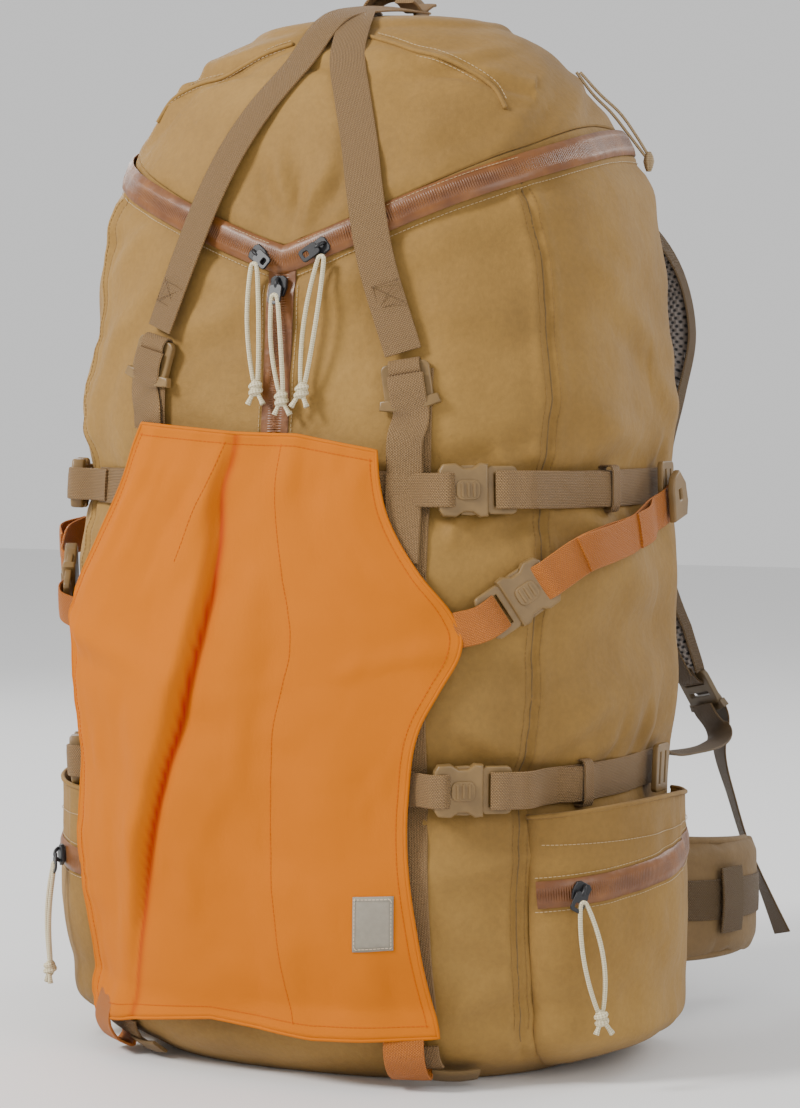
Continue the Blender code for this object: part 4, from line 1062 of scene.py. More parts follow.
def makePocket(key, sign):
    rows, columns = 60, 84
    verts, faces = [], []
    heights = np.concatenate([np.linspace(0.006, 0.03, 10)[:-1],
        np.linspace(0.03, pocketCut["top"] + 0.006, rows - 9)])
    for i, z in enumerate(heights):
        low = min(1.0, (z - 0.006) / 0.022)
        for j in range(columns):
            q = j / (columns - 1)
            raised = z + 0.006 * max(0.0, (z - 0.15) / 0.034) * math.sin(math.pi * min(1, q * 1.1))
            p = pocketPoint(sign, q, float(z), 0.0036 * min(1, 8 * q, 8 * (1 - q)))
            tuck = (1 - low) ** 2 * 0.012 * math.sin(math.pi * q)
            inward = outward(sign * (pocketCut["front"] + (pocketCut["back"] - pocketCut["front"]) * q),
                float(z))
            inward.z = 0
            p = p - inward.normalized() * tuck
            p.z = raised
            verts.append(p)
    for i in range(len(heights) - 1):
        for j in range(columns - 1):
            a = i * columns + j
            faces.append((a, a + 1, a + columns + 1, a + columns) if sign > 0
                else (a, a + columns, a + columns + 1, a + 1))
    n = len(verts)
    # floor of the pocket, tucked back to the bag
    for j in range(columns):
        q = j / (columns - 1)
        arc = pocketCut["front"] + (pocketCut["back"] - pocketCut["front"]) * q
        verts.append(beside(sign * arc, 0.0065, 0.0010))
    for j in range(columns - 1):
        faces.append((j, n + j, n + j + 1, j + 1) if sign > 0 else (j, j + 1, n + j + 1, n + j))
    obj = meshFrom("sidePocket" + key.capitalize(), verts, faces, coyote)
    solid = obj.modifiers.new("wall", "SOLIDIFY")
    solid.thickness = 0.0020
    solid.offset = -1
    sub = obj.modifiers.new("smooth", "SUBSURF")
    sub.levels = sub.render_levels = 1
    keep(obj, "bag", "side_pocket_" + key)
    # bound hem along the mouth
    hem = []
    for j in range(columns):
        q = j / (columns - 1)
        p = pocketPoint(sign, q, pocketCut["top"] + 0.006, 0.0030 * min(1, 8 * q, 8 * (1 - q)))
        p.z = pocketCut["top"] + 0.006 + 0.006 * math.sin(math.pi * min(1, q * 1.1))
        hem.append(p)
    hemObj = tube("pocketHem" + key.capitalize(), hem, 0.0017, coyote, 8)
    keep(hemObj, "bag", "side_pocket_" + key, False)
    points, normals, lower, upper = [], [], [], []
    for q in np.linspace(0.015, 0.93, 60):
        z = 0.132 + 0.020 * q
        here = pocketPoint(sign, q, z, 0.0042)
        along = pocketPoint(sign, q + 0.02, z, 0.0042) - pocketPoint(sign, q - 0.02, z, 0.0042)
        rise = pocketPoint(sign, q, z + 0.004, 0.0042) - pocketPoint(sign, q, z - 0.004, 0.0042)
        normal = along.cross(rise).normalized() * sign
        points.append(here)
        normals.append(normal)
        upper.append(here + rise.normalized() * 0.0115 + normal * 0.0004)
        lower.append(here - rise.normalized() * 0.0115 + normal * 0.0004)
    pocketRibs = sew("pocketRibs" + key.capitalize(), [[p - n * 0.0020 for p, n in zip(points, normals)]],
        zipTape, 0.0025, 0.0011, 0.0034, 16)
    keep(pocketRibs, "bag", "pocket_zip_" + key, False)
    tape = ribbon("pocketZip" + key.capitalize(), points, normals, 0.0185, 0.0012, zipTape, 0.0010)
    keep(tape, "bag", "pocket_zip_" + key)
    topHem = [pocketPoint(sign, q, 0.166, 0.0044) for q in np.linspace(0.03, 0.95, 60)]
    stitches = sew("pocketStitches" + key.capitalize(), [upper, lower, topHem], threadTan, 0.0030, 0.0021,
        0.00024)
    keep(stitches, "bag", "side_pocket_" + key, False)
    q = 0.13
    z = 0.132 + 0.020 * q
    here = pocketPoint(sign, q, z, 0.0042)
    along = (pocketPoint(sign, q + 0.05, z, 0.0042) - pocketPoint(sign, q - 0.05, z, 0.0042)).normalized()
    up = Vector((0, 0, 1))
    normal = (along.cross(up) * sign).normalized()
    place = Matrix((up.cross(normal).normalized(), up, normal)).transposed().to_4x4()
    place.translation = here + normal * 0.0028
    body = "pocket_slider_" + key
    sliderPiece("pocketSlider" + key.capitalize(), body, body, place, sign * -0.5)
    start = place @ Vector((0, -0.008, 0.0075))
    side = place.to_3x3() @ Vector((1, 0, 0))
    end = start + Vector((along.x * 0.012, along.y * 0.012, -0.072))
    pullCord("pocketPull" + key.capitalize(), "pocket_cord_" + key, body, start, end, side, 0.0050, normal)


for key, sign in (("left", -1), ("right", 1)):
    makePocket(key, sign)
print("pockets made")


# straps from the grab handle down the front
def edgeStitch(name, points, normals, width, body, node, mat=None, inset=0.0028, lift=0.0010):
    points = [Vector(p) for p in points]
    ways = tangents(points)
    lines = []
    for sign in (-1, 1):
        line = []
        for p, n, w in zip(points, normals, ways):
            side = Vector(w).cross(Vector(n)).normalized()
            line.append(p + side * sign * (width / 2 - inset) + Vector(n) * lift)
        lines.append(line)
    return keep(sew(name, lines, mat or threadTan, 0.0030, 0.0020, 0.00022), body, node, False)


frontStraps = {"left": [(-0.098, 0.480), (-0.099, 0.350), (-0.100, 0.200), (-0.100, 0.034)],
               "right": [(0.0975, 0.480), (0.098, 0.350), (0.099, 0.200), (0.100, 0.034)]}
for key, path in frontStraps.items():
    places = [(a, z, 0.0014) for a, z in path]
    keep(girthRibbon("frontStrap" + key.capitalize(), places, 0.0260, 0.0014, webbing, 110), "bag",
        "front_strap_" + key)
for key, z in (("upper", 0.400), ("lower", 0.204)):
    keep(girthRibbon("frontWeb" + key.capitalize(), [(a, z, 0.0036) for a in (-0.173, -0.08, 0.02, 0.1075)],
        0.0250, 0.0014, webbing, 70), "bag", "front_web_" + key)

lidStraps = {
    "left": {
        "lift": 0.0036,
        "crown": [(0.0260, 0.034), (0.0175, 0.010), (0.0080, -0.014), (-0.0010, -0.034)],
        "down": [(-0.0160, 0.687, 0.0026), (-0.034, 0.657, 0.0018), (-0.047, 0.628, 0.0030),
                 (-0.058, 0.600, 0.0044), (-0.073, 0.557, 0.0066), (-0.092, 0.507, 0.0060)]},
    "right": {
        "lift": 0.0014,
        "crown": [(-0.0150, 0.034), (-0.0070, 0.010), (0.0030, -0.014), (0.0110, -0.034)],
        "down": [(0.0220, 0.690, 0.0014), (0.037, 0.657, 0.0016), (0.048, 0.628, 0.0030),
                 (0.056, 0.600, 0.0044), (0.067, 0.557, 0.0066), (0.090, 0.490, 0.0060)]}}
for key, strap in lidStraps.items():
    route = [onCrown(x, y, strap["lift"])[0] for x, y in strap["crown"]] + [at(a, z, o) for a, z,
        o in strap["down"]]
    path = spline(route, 110)
    crownNormal = onCrown(strap["crown"][-1][0], strap["crown"][-1][1], 0)[1]
    normals = []
    for p in path:
        a = math.atan2(p[0], -(p[1] - bagMiddle))
        side = outward(float(arcOf(np.array(a), np.array(p[2]))), min(float(p[2]), 0.722))
        t = min(1, max(0, (p[2] - 0.64) / 0.07))
        normals.append(Vector(side).lerp(Vector(crownNormal), t).normalized())
    keep(ribbon("lidStrap" + key.capitalize(), path, normals, 0.0250, 0.0016, webbing, 0.0004), "lid",
        "lid_strap_" + key)
    edgeStitch("lidStrapStitch" + key.capitalize(), path[8:-2], normals[8:-2], 0.0250, "lid",
        "lid_strap_" + key)

# grab handle with its sewn-down ends and the small tabs beside it
handle = {"middle": 0.002, "half": 0.020, "rise": 0.017, "foot": 0.7325, "y": 0.046, "width": 0.0250,
    "thick": 0.0022}
arch = [(handle["middle"] - handle["half"] * math.cos(t), handle["y"],
    handle["foot"] + handle["rise"] * math.sin(t)) for t in np.linspace(0, math.pi, 40)]
archNormals = [Vector((p[0] - handle["middle"], 0, max(p[2] - handle["foot"], 0.0) + 0.001)).normalized()
    for p in arch]
haul = ribbon("haulHandle", arch, archNormals, handle["width"], handle["thick"], webbing, 0.0004)
roll = []
for t in np.linspace(0.12, 0.88, 30):
    a = math.pi * t
    roll.append((handle["middle"] - (handle["half"] - 0.0022) * math.cos(a), handle["y"],
        handle["foot"] + (handle["rise"] - 0.0022) * math.sin(a)))
core = tube("handleCore", roll, 0.0030, webbing, 10)
keep(joinAll("haulHandle", [haul, core]), "handle", "haul_handle")
edgeStitch("handleStitch", arch[3:-3], archNormals[3:-3], handle["width"], "handle", "haul_handle",
    lift=0.0013)

for i, (x, y, turn, long) in enumerate(((-0.020, 0.030, 0.30, 0.020), (0.026, 0.028, -0.35, 0.024))):
    p, n = onCrown(x, y, 0.0024)
    way = Vector((math.sin(turn), -math.cos(turn), 0))
    way = (way - n * way.dot(n)).normalized()
    line = [p + way * long * t + n * (0.006 * math.sin(math.pi * t) ** 2 * (1 if i else 0.5))
        for t in np.linspace(-0.5, 0.5, 14)]
    ns = [n] * len(line)
    keep(ribbon("crownTab" + "AB"[i], line, ns, 0.019, 0.0022, webbing, 0.0003), "lid", "top_lid", False)

# lid seams: the piping beside the crown on both sides, with its stitches
for sign, label in ((-1, "Left"), (1, "Right")):
    route = [at(sign * a, z, 0.0006) for a, z in ((0.030, 0.7075), (0.050, 0.701), (0.066, 0.695),
        (0.085, 0.689), (0.110, 0.681), (0.130, 0.669), (0.141, 0.654))]
    path = spline(route, 90)
    keep(tube("crownPiping" + label, path, 0.0017, coyote, 8), "lid", "top_lid", False)
    lines = []
    for off in (-0.0046, 0.0046):
        lines.append([Vector(p) + Vector((0, 0, 0.0005)) + Vector((off * 0.3, off * 0.4, off * 0.7))
            for p in path[4:-4]])
    keep(sew("crownStitch" + label, lines, threadTan, 0.0031, 0.0021, 0.00022), "lid", "top_lid", False)
print("straps and handle made")


# plastic pieces, all on a frame with X along the strap
def sideReleaseBody(name, place, body, node):
    # Female half: two lobes with a waist between them and a centre window.
    outer = [(-0.030, -0.0125), (-0.028, -0.0155), (-0.021, -0.0160), (-0.016, -0.0128), (-0.009, -0.0128),
        (-0.004, -0.0162), (-0.0006, -0.0158)]
    outer = outer + [(x, -y) for x, y in reversed(outer)]
    hull = plateFrom(name + "Hull", [outer, roundedBox(-0.0262, 0, 0.0034, 0.0225, 0.0014)], 0.0090, 0.0016,
        buckleTan, place, 0.0)
    ridge = plateFrom(name + "Ridge", [roundedBox(-0.0125, 0, 0.0150, 0.0120, 0.004)], 0.0013, 0.0005,
        buckleTan, place, 0.0050)
    ribs = [plateFrom(name + "Rib", [roundedBox(-0.0125 + d, 0, 0.0012, 0.0090, 0.0005)], 0.0010, 0.0003,
        buckleTan, place, 0.0059) for d in (-0.004, 0, 0.004)]
    return keep(joinAll(name, [hull, ridge] + ribs), body, node)


def sideReleasePlug(name, place, body, node):
    # Male half: a ladder frame with two spring arms that show in the waist of the other half.
    wide = 0.0300
    ladder = plateFrom(name + "Ladder", [roundedBox(0.0100, 0, 0.0190, wide, 0.003),
        roundedBox(0.0060, 0, 0.0034, wide - 0.007, 0.0012), roundedBox(0.0138, 0, 0.0038, wide - 0.007,
        0.0012)], 0.0046, 0.0009, buckleTan, place, 0.0)
    arms = []
    for sign in (-1, 1):
        arms.append(plateFrom(name + "Arm", [[(0.0015, sign * 0.0110), (-0.0080, sign * 0.0118),
            (-0.0150, sign * 0.0142), (-0.0160, sign * 0.0155), (-0.0100, sign * 0.0158),
            (0.0015, sign * 0.0145)]], 0.0040, 0.0007, buckleTan, place, 0.0))
    tongue = plateFrom(name + "Tongue", [roundedBox(-0.0060, 0, 0.0160, 0.0060, 0.0012)], 0.0034, 0.0006,
        buckleTan, place, 0.0)
    return keep(joinAll(name, [ladder] + arms + [tongue]), body, node)


def ladderLock(name, place, body, node, w=0.031, h=0.027, cy=-0.010, mat=None):
    # Flat three-bar buckle that a strap is threaded through, with grips at its free end.
    mat = mat or buckleTan
    plate = plateFrom(name + "Plate", [roundedBox(0, cy, w, h, 0.0035),
        roundedBox(0, cy + 0.0060, w - 0.009, 0.0042, 0.0012), roundedBox(0, cy - 0.0030, w - 0.009, 0.0050,
        0.0012)], 0.0046, 0.0010, mat, place, 0.0)
    extra = []
    for sign in (-1, 1):
        extra.append(plateFrom(name + "Grip", [[(sign * 0.009, cy - h / 2 + 0.003),
            (sign * 0.0185, cy - h / 2 + 0.0035), (sign * 0.0195, cy - h / 2 - 0.0005),
            (sign * 0.0100, cy - h / 2 - 0.0025)]], 0.0058, 0.0012, mat, place, 0.0006))
    for i in range(3):
        extra.append(plateFrom(name + "Tooth", [roundedBox(0, cy - h / 2 + 0.0014 + 0.0020 * i, w * 0.55,
            0.0009, 0.0004)], 0.0010, 0.0003, mat, place, 0.0027))
    return keep(joinAll(name, [plate] + extra), body, node)


def boxStitch(name, centre, along, normal, w, h, body, node):
    side = along.cross(normal).normalized()
    spot = lambda u, v: centre + side * u * w / 2 + along * v * h / 2 + normal * 0.0012
    lines = [[spot(-1 + 2 * t, v) for t in np.linspace(0, 1, 12)] for v in (-1, 1)]
    lines += [[spot(u, -1 + 2 * t) for t in np.linspace(0, 1, 12)] for u in (-1, 1)]
    lines += [[spot(-1 + 2 * t, -1 + 2 * t) for t in np.linspace(0.04, 0.96, 14)],
        [spot(1 - 2 * t, -1 + 2 * t) for t in np.linspace(0.04, 0.96, 14)]]
    keep(sew(name, lines, darkThread, 0.0024, 0.0019, 0.00026), body, node, False)


for key, (arc, z) in {"left": (-0.0835, 0.530), "right": (0.0790, 0.528)}.items():
    lift = 0.0084
    spotNow, upNow = at(arc, z, lift), at(arc * (0.93 if key == "left" else 0.95), z + 0.012, lift)
    boxStitch("lockBox" + key.capitalize(), spotNow, (upNow - spotNow).normalized(), outward(arc, z),
        0.0175, 0.0150, "lid", "lid_strap_" + key)

for key, arc, z, tilt, low in (("left", -0.094, 0.496, math.radians(-14), 0.440),
        ("right", 0.092, 0.479, math.radians(9), 0.352)):
    place = sideFrame(arc, z, 0.0072, tilt)
    ladderLock("tensionLock" + key.capitalize(), place, "tension_lock_" + key, "tension_lock_" + key)
    # strap round the lower bar, sewn back on itself, and its loose tail on the left
    tilted = (place.to_3x3() @ Vector((0, 1, 0))).normalized()
    normal = (place.to_3x3() @ Vector((0, 0, 1))).normalized()
    centre = place.translation
    line = [centre - tilted * 0.0040 + normal * 0.0040, centre - tilted * 0.0105 + normal * 0.0046,
        centre - tilted * 0.0200 + normal * 0.0030,
            centre - tilted * 0.0300 + normal * 0.0006]
    line += [at(arc * (1.02 if key == "right" else 1.05), zz, 0.0044)
        for zz in np.linspace(centre.z - 0.046, low, 4)]
    path = spline(line, 60)
    normals = [outward(arc, float(p[2])) for p in path]
    keep(ribbon("lockTail" + key.capitalize(), path, normals, 0.0245, 0.0016, webbing, 0.0004), "bag",
        "front_strap_" + key, False)
    edgeStitch("lockTailStitch" + key.capitalize(), path[14:-2], normals[14:-2], 0.0245, "bag",
        "front_strap_" + key)
    wrap = []
    for t in np.linspace(0, 1, 26):
        a = -0.5 * math.pi + 1.9 * math.pi * t
        wrap.append(centre + tilted * (0.0005 + 0.0052 * math.cos(a)) + normal * (0.0042 * math.sin(a)))
    wrapNormals = [(w - centre - tilted * 0.0005).normalized() for w in wrap]
    keep(ribbon("lockWrap" + key.capitalize(), wrap, wrapNormals, 0.0215, 0.0013, webbing),
        "tension_lock_" + key, "tension_lock_" + key, False)
print("locks made")

# compression straps
compression = {"right": {"arc": 0.146, "end": 0.340, "sign": 1},
    "left": {"arc": 0.222, "end": 0.352, "sign": -1}}
for level, z in (("upper", 0.400), ("lower", 0.204)):
    for key, c in compression.items():
        sign = c["sign"]
        place = sideFrame(sign * c["arc"], z, 0.0078)
        if sign < 0:
            place = place @ Matrix.Rotation(math.pi, 4, "Z")
        prefix = f"compression_{level}_{key}"
        label = level.capitalize() + key.capitalize()
        sideReleaseBody("buckleBody" + label, place, "bag", prefix + "_body")
        sideReleasePlug("bucklePlug" + label, place, prefix + "_plug", prefix + "_plug")
        # front stub of webbing through the body's own bar
        inner = [at(sign * (c["arc"] - 0.064), z, 0.0052), at(sign * (c["arc"] - 0.046), z, 0.0066),
            place @ Vector((-0.0310, 0, 0.0040)), place @ Vector((-0.0255, 0, 0.0056)),
            place @ Vector((-0.0222, 0, 0.0036))]
        path = spline(inner, 34)
        keep(ribbon("frontStub" + label, path, [outward(sign * (c["arc"] - 0.04), z)] * 34, 0.0225, 0.0015,
            webbing, 0.0003), "bag", prefix + "_body", False)
        line = [place @ Vector((0.0062, 0, 0.0036)), place @ Vector((0.0100, 0, 0.0050)),
            place @ Vector((0.0200, 0, 0.0046)), place @ Vector((0.0300, 0, 0.0034))]
        for t in np.linspace(0, 1, 6):
            a = c["arc"] + 0.045 + (c["end"] - c["arc"] - 0.045) * t
            line.append(at(sign * a, z, 0.0024 + 0.0066 * (1 - t) ** 3))
        path = spline(line, 120)
        normals = []
        for p in path:
            a = math.atan2(p[0], -(p[1] - bagMiddle))
            normals.append(outward(float(arcOf(np.array(a), np.array(z))), z))
        keep(ribbon("compressionStrap" + label, path, normals, 0.0250, 0.0016, webbing, 0.0004), "bag",
            prefix + "_strap")
        edgeStitch("compressionStitch" + label, path[6:-3], normals[6:-3], 0.0250, "bag", prefix + "_strap")
        # doubled end, a keeper loop and the buckle at the frame edge
        fold = 0.070 if level == "upper" else 0.048
        second = []
        for t in np.linspace(0, 1, 14):
            a = c["arc"] + fold + 0.046 * t
            second.append(at(sign * a, z - 0.0006 * t, 0.0052 + 0.0050 * math.sin(math.pi * t) ** 1.4
                * (1.4 if sign < 0 else 0.8)))
        ns = [outward(sign * (c["arc"] + fold + 0.02), z)] * 14
        keep(ribbon("foldedEnd" + label, second, ns, 0.0240, 0.0020, webbing, 0.0004), "bag",
            prefix + "_strap", False)
        keeperArc = sign * (c["arc"] + fold + 0.030)
        ring = []
        up = Vector((0, 0, 1))
        here, out = at(keeperArc, z, 0.0066), outward(keeperArc, z)
        for t in np.linspace(0, 2 * math.pi, 29):
            ring.append(here + up * 0.0146 * max(-1, min(1, 1.25 * math.cos(t))) + out * 0.0056
                * max(-1, min(1, 1.25 * math.sin(t))))
        across = out.cross(up).normalized()
        ringNormals = [(p - here - across * (p - here).dot(across)).normalized() for p in ring]
        keep(ribbon("keeper" + label, ring, ringNormals, 0.0090, 0.0014, webbing), "bag", prefix + "_strap",
            False)
        edge = sideFrame(sign * (c["end"] - 0.012), z, 0.0062)
        if sign < 0:
            edge = edge @ Matrix.Rotation(math.pi, 4, "Z")
        anchor = plateFrom("edgeBuckle" + label, [roundedBox(0, 0, 0.0220, 0.0320, 0.003),
            roundedBox(-0.0048, 0, 0.0040, 0.0240, 0.001), roundedBox(0.0050, 0, 0.0040, 0.0240, 0.001)],
            0.0040, 0.0008, buckleTan, edge, 0.0)
        keep(anchor, "bag", prefix + "_strap", False)
print("compression straps made")

# orange panel, hung over the front and drawn out at both sides
panelCut = {
    "left": [(0.443, -0.100), (0.400, -0.122), (0.353, -0.152), (0.318, -0.184), (0.303, -0.191),
        (0.285, -0.188),
             (0.245, -0.181), (0.200, -0.178), (0.143, -0.181), (0.080, -0.180), (0.036, -0.176)],
    "right": [(0.425, 0.076), (0.405, 0.078), (0.385, 0.083), (0.343, 0.107), (0.318, 0.127),
        (0.305, 0.133),
              (0.294, 0.132), (0.270, 0.120), (0.249, 0.109), (0.194, 0.099), (0.098, 0.105),
                  (0.039, 0.114)],
    "off": 0.0086}


edgeHeights = np.linspace(0.02, 0.46, 441)
edgeTables = {}
for side in ("left", "right"):
    low = np.array(panelCut[side][::-1])
    edgeTables[side] = smoothRead(low[:, 0], low[:, 1], np.clip(edgeHeights, low[0, 0], low[-1, 0]))


def edgeRead(side, z):
    return float(np.interp(z, edgeHeights, edgeTables[side]))


def panelSpot(u, t):
    # Share across and share down -> arc, height.
    top = np.interp(u, [0, 0.42, 0.70, 1], [0.4425, 0.4365, 0.4350, 0.4250])
    low = np.interp(u, [0, 0.06, 0.45, 0.72, 1], [0.040, 0.030, 0.041, 0.036, 0.039])
    z = top + (low - top) * t
    left, right = edgeRead("left", z), edgeRead("right", z)
    return left + (right - left) * u, z


def pleatLine(z):
    t = (0.436 - z) / 0.396
    return -0.027 - 0.083 * t + 0.006 * math.sin(5.2 * t) - 0.006 * math.exp(-((t - 0.10) / 0.06) ** 2)


def panelLift(a, z, u, t):
    d = a - pleatLine(z)
    gape = 0.35 + 0.65 * math.sin(math.pi * min(1, max(0, 0.08 + 0.86 * t)))
    lift = 0.0095 * gape * math.exp(-((d + 0.006) / (0.018 if d < -0.006 else 0.0052)) ** 2)
    lift -= 0.0040 * gape * math.exp(-((d - 0.0045) / 0.0052) ** 2)
    lift += 0.0040 * math.exp(-((d - 0.034) / 0.022) ** 2) * gape
    lift += 0.0062 * float(softNoise(u / 0.20, t / 0.42, 811)) + 0.0030 * float(softNoise(u / 0.10 + t
        * 1.3, t / 0.15, 821))
    lift += 0.0009 * float(softNoise(u / 0.045, t / 0.06, 831))
    # drag lines from each side strap towards the middle
    for side, where in ((0, 0.33), (1, 0.335)):
        far = abs(u - side)
        slope = t - where - 0.22 * far
        lift += 0.0058 * math.exp(-(slope / 0.026) ** 2) * math.exp(-far / 0.22)
        lift -= 0.0040 * math.exp(-((slope - 0.055) / 0.030) ** 2) * math.exp(-far / 0.26)
    edge = min(u, 1 - u, t * 1.1, (1 - t) * 1.1)
    lift *= min(1.0, 0.30 + edge / 0.12)
    lift += 0.0016 * math.exp(-(edge / 0.012) ** 2)
    lift += 0.0060 * math.exp(-((1 - t) / 0.045) ** 2) * (0.5 + 0.5 * math.sin(9 * u + 0.6))
    return lift


def panelPoint(u, t, extra=0.0):
    a, z = panelSpot(u, t)
    r = readGrid(a, max(z, 0.006))
    cloth = float(r[6])
    off = panelCut["off"] + panelLift(a, z, u, t) + 0.35 * cloth
    low = cloth + 0.0070
    off = low + math.log1p(math.exp((off - low) / 0.0008)) * 0.0008 if off - low < 0.02 else off
    return Vector(r[:3]) + Vector(r[3:6]).normalized() * (off + extra)


def makePanel():
    rows, columns = 150, 130
    points = np.array([[panelPoint(j / (columns - 1), i / (rows - 1)) for j in range(columns)]
        for i in range(rows)])
    # points round the flat cut outline, before the cloth is draped
    border = [panelSpot(k / 120, 0) for k in range(120)] + [panelSpot(1, k / 120) for k in range(120)]
    border += [panelSpot(1 - k / 120, 1) for k in range(120)] + [panelSpot(0, 1 - k / 120)
        for k in range(120)]
    panel = meshFrom("orangePanel", points.reshape(-1, 3), quads(rows, columns), blaze)
    # painted shade: a mask along the pleat, strongest just inside the fold, that mixes the cloth's colour
    # to deep red in place of the fold's shadow and bounce light
    crease = np.zeros((rows, columns), np.float32)
    for i in range(rows):
        for j in range(columns):
            a, z = panelSpot(j / (columns - 1), i / (rows - 1))
            d = a - pleatLine(z)
            t = i / (rows - 1)
            depth = math.exp(-((d - 0.0020) / (0.0016 if d < 0.0020 else 0.0034)) ** 2) * (0.35 + 0.65
                * math.sin(math.pi * min(1, 0.06 + 0.9 * t)))
            crease[i, j] = min(1.0, depth)
    layer = panel.data.attributes.new("crease", "FLOAT", "POINT")
    layer.data.foreach_set("value", crease.ravel())
    solid = panel.modifiers.new("wall", "SOLIDIFY")
    solid.thickness = 0.0016
    solid.offset = 0.0
    keep(panel, "panel", "orange_panel")
    # turned hem: a soft rolled edge all round
    rim = [(u, 0.0) for u in np.linspace(0, 1, 60)] + [(1.0, t) for t in np.linspace(0.01, 1, 90)]
    rim += [(u, 1.0) for u in np.linspace(0.985, 0, 60)] + [(0.0, t) for t in np.linspace(0.99, 0.01, 90)]
    path = [panelPoint(u, t) for u, t in rim]
    hem = tube("panelEdge", path + [path[0]], 0.0013, blaze, 8)
    # the hem carries the same painted-shade mask, set to zero
    flat = hem.data.attributes.new("crease", "FLOAT", "POINT")
    flat.data.foreach_set("value", np.zeros(len(hem.data.vertices), np.float32))
    keep(hem, "panel", "orange_panel", False)
    lines = [[panelPoint(0.020 + 0.96 * u, 0.018, 0.0010) for u in np.linspace(0, 1, 90)],
             [panelPoint(0.020 + 0.96 * u, 0.982, 0.0010) for u in np.linspace(0, 1, 90)],
             [panelPoint(0.022, 0.018 + 0.964 * t, 0.0010) for t in np.linspace(0, 1, 120)],
             [panelPoint(0.978, 0.018 + 0.964 * t, 0.0010) for t in np.linspace(0, 1, 120)],
             [panelPoint(0.640 + 0.035 * t, 0.018 + 0.964 * t, 0.0010) for t in np.linspace(0, 1, 120)],
             [panelPoint(0.405 - 0.055 * t, 0.018 + 0.20 * t, 0.0010) for t in np.linspace(0, 1, 40)]]
    stitches = sew("panelStitches", lines, threadOrange, 0.0032, 0.0022, 0.00024)
    keep(stitches, "panel", "orange_panel", False)
    # plain grey label, sewn on low at the right
    corner = []
    for i in range(10):
        for j in range(8):
            a = 0.064 + 0.0265 * j / 7 - 0.0012 * i / 9
            z = 0.1335 - 0.0365 * i / 9 + 0.0016 * j / 7
            left, right = edgeRead("left", z), edgeRead("right", z)
            u = (a - left) / (right - left)
            t = (0.4345 - z) / 0.397
            corner.append(panelPoint(u, t, 0.0016))
    label = meshFrom("greyLabel", corner, quads(10, 8), labelGrey)
    thick = label.modifiers.new("wall", "SOLIDIFY")
    thick.thickness = 0.0009
    keep(label, "panel", "orange_panel", False)
    grid = np.array([list(p) for p in corner]).reshape(10, 8, 3)
    middle = grid.mean((0, 1))
    loop = [grid[0, j] for j in range(8)] + [grid[i, 7] for i in range(1, 10)] + [grid[9, j]
        for j in range(6, -1, -1)] + [grid[i, 0] for i in range(8, -1, -1)]
    loop = [Vector(middle + (p - middle) * 0.90) + outward(0.08, 0.115) * 0.0008 for p in loop]
    labelSew = sew("labelStitches", [loop], stitchPale, 0.0026, 0.0018, 0.00022)
    keep(labelSew, "panel", "orange_panel", False)


makePanel()

# loops that hold the panel's lower edge, with their tan strips
for key, arc in (("left", -0.148), ("right", 0.092)):
    label = key.capitalize()
    line = [at(arc, 0.0520, 0.0050, 0.3), at(arc, 0.0420, 0.0100, 0.3), at(arc, 0.0300, 0.0160, 0.3),
        at(arc, 0.0210, 0.0150, 0.3), at(arc, 0.0160, 0.0105, 0.3), at(arc, 0.0175, 0.0060, 0.3),
        at(arc, 0.0260, 0.0045, 0.3)]
    path = spline(line, 46)
    ways = tangents(path)
    side = outward(arc, 0.03).cross(Vector((0, 0, 1))).normalized()
    normals = [Vector(w).cross(side).normalized() for w in ways]
    if normals[10].dot(outward(arc, 0.03)) < 0:
        normals = [-n for n in normals]
    keep(ribbon("panelLoop" + label, path, normals, 0.0275, 0.0018, orangeWebbing, 0.0003), "bag",
        "panel_loop_" + key)
    edgeStitch("panelLoopStitch" + label, path[4:30], normals[4:30], 0.0275, "bag", "panel_loop_" + key,
        threadOrange)
    strip = [at(arc + 0.004, z, off, 0.3) for z, off in ((0.0300, 0.0030), (0.0240, 0.0046),
        (0.0190, 0.0050), (0.0160, 0.0040))]
    keep(ribbon("tanStrip" + label, spline(strip, 14), [outward(arc, 0.01)] * 14, 0.0360, 0.0020, webbing,
        0.0003), "bag", "panel_loop_" + key, False)
    wing = [at(arc + d, 0.0140 + 0.010 * (d - 0.012), 0.0040 + 0.0035 * math.sin(60 * d), 0.3)
        for d in np.linspace(0.012, 0.042, 14)]
    keep(ribbon("tanWing" + label, wing, [outward(arc + 0.03, 0.014)] * 14, 0.0150, 0.0022, coyoteDark,
        0.0003), "bag", "panel_loop_" + key, False)
print("panel made")

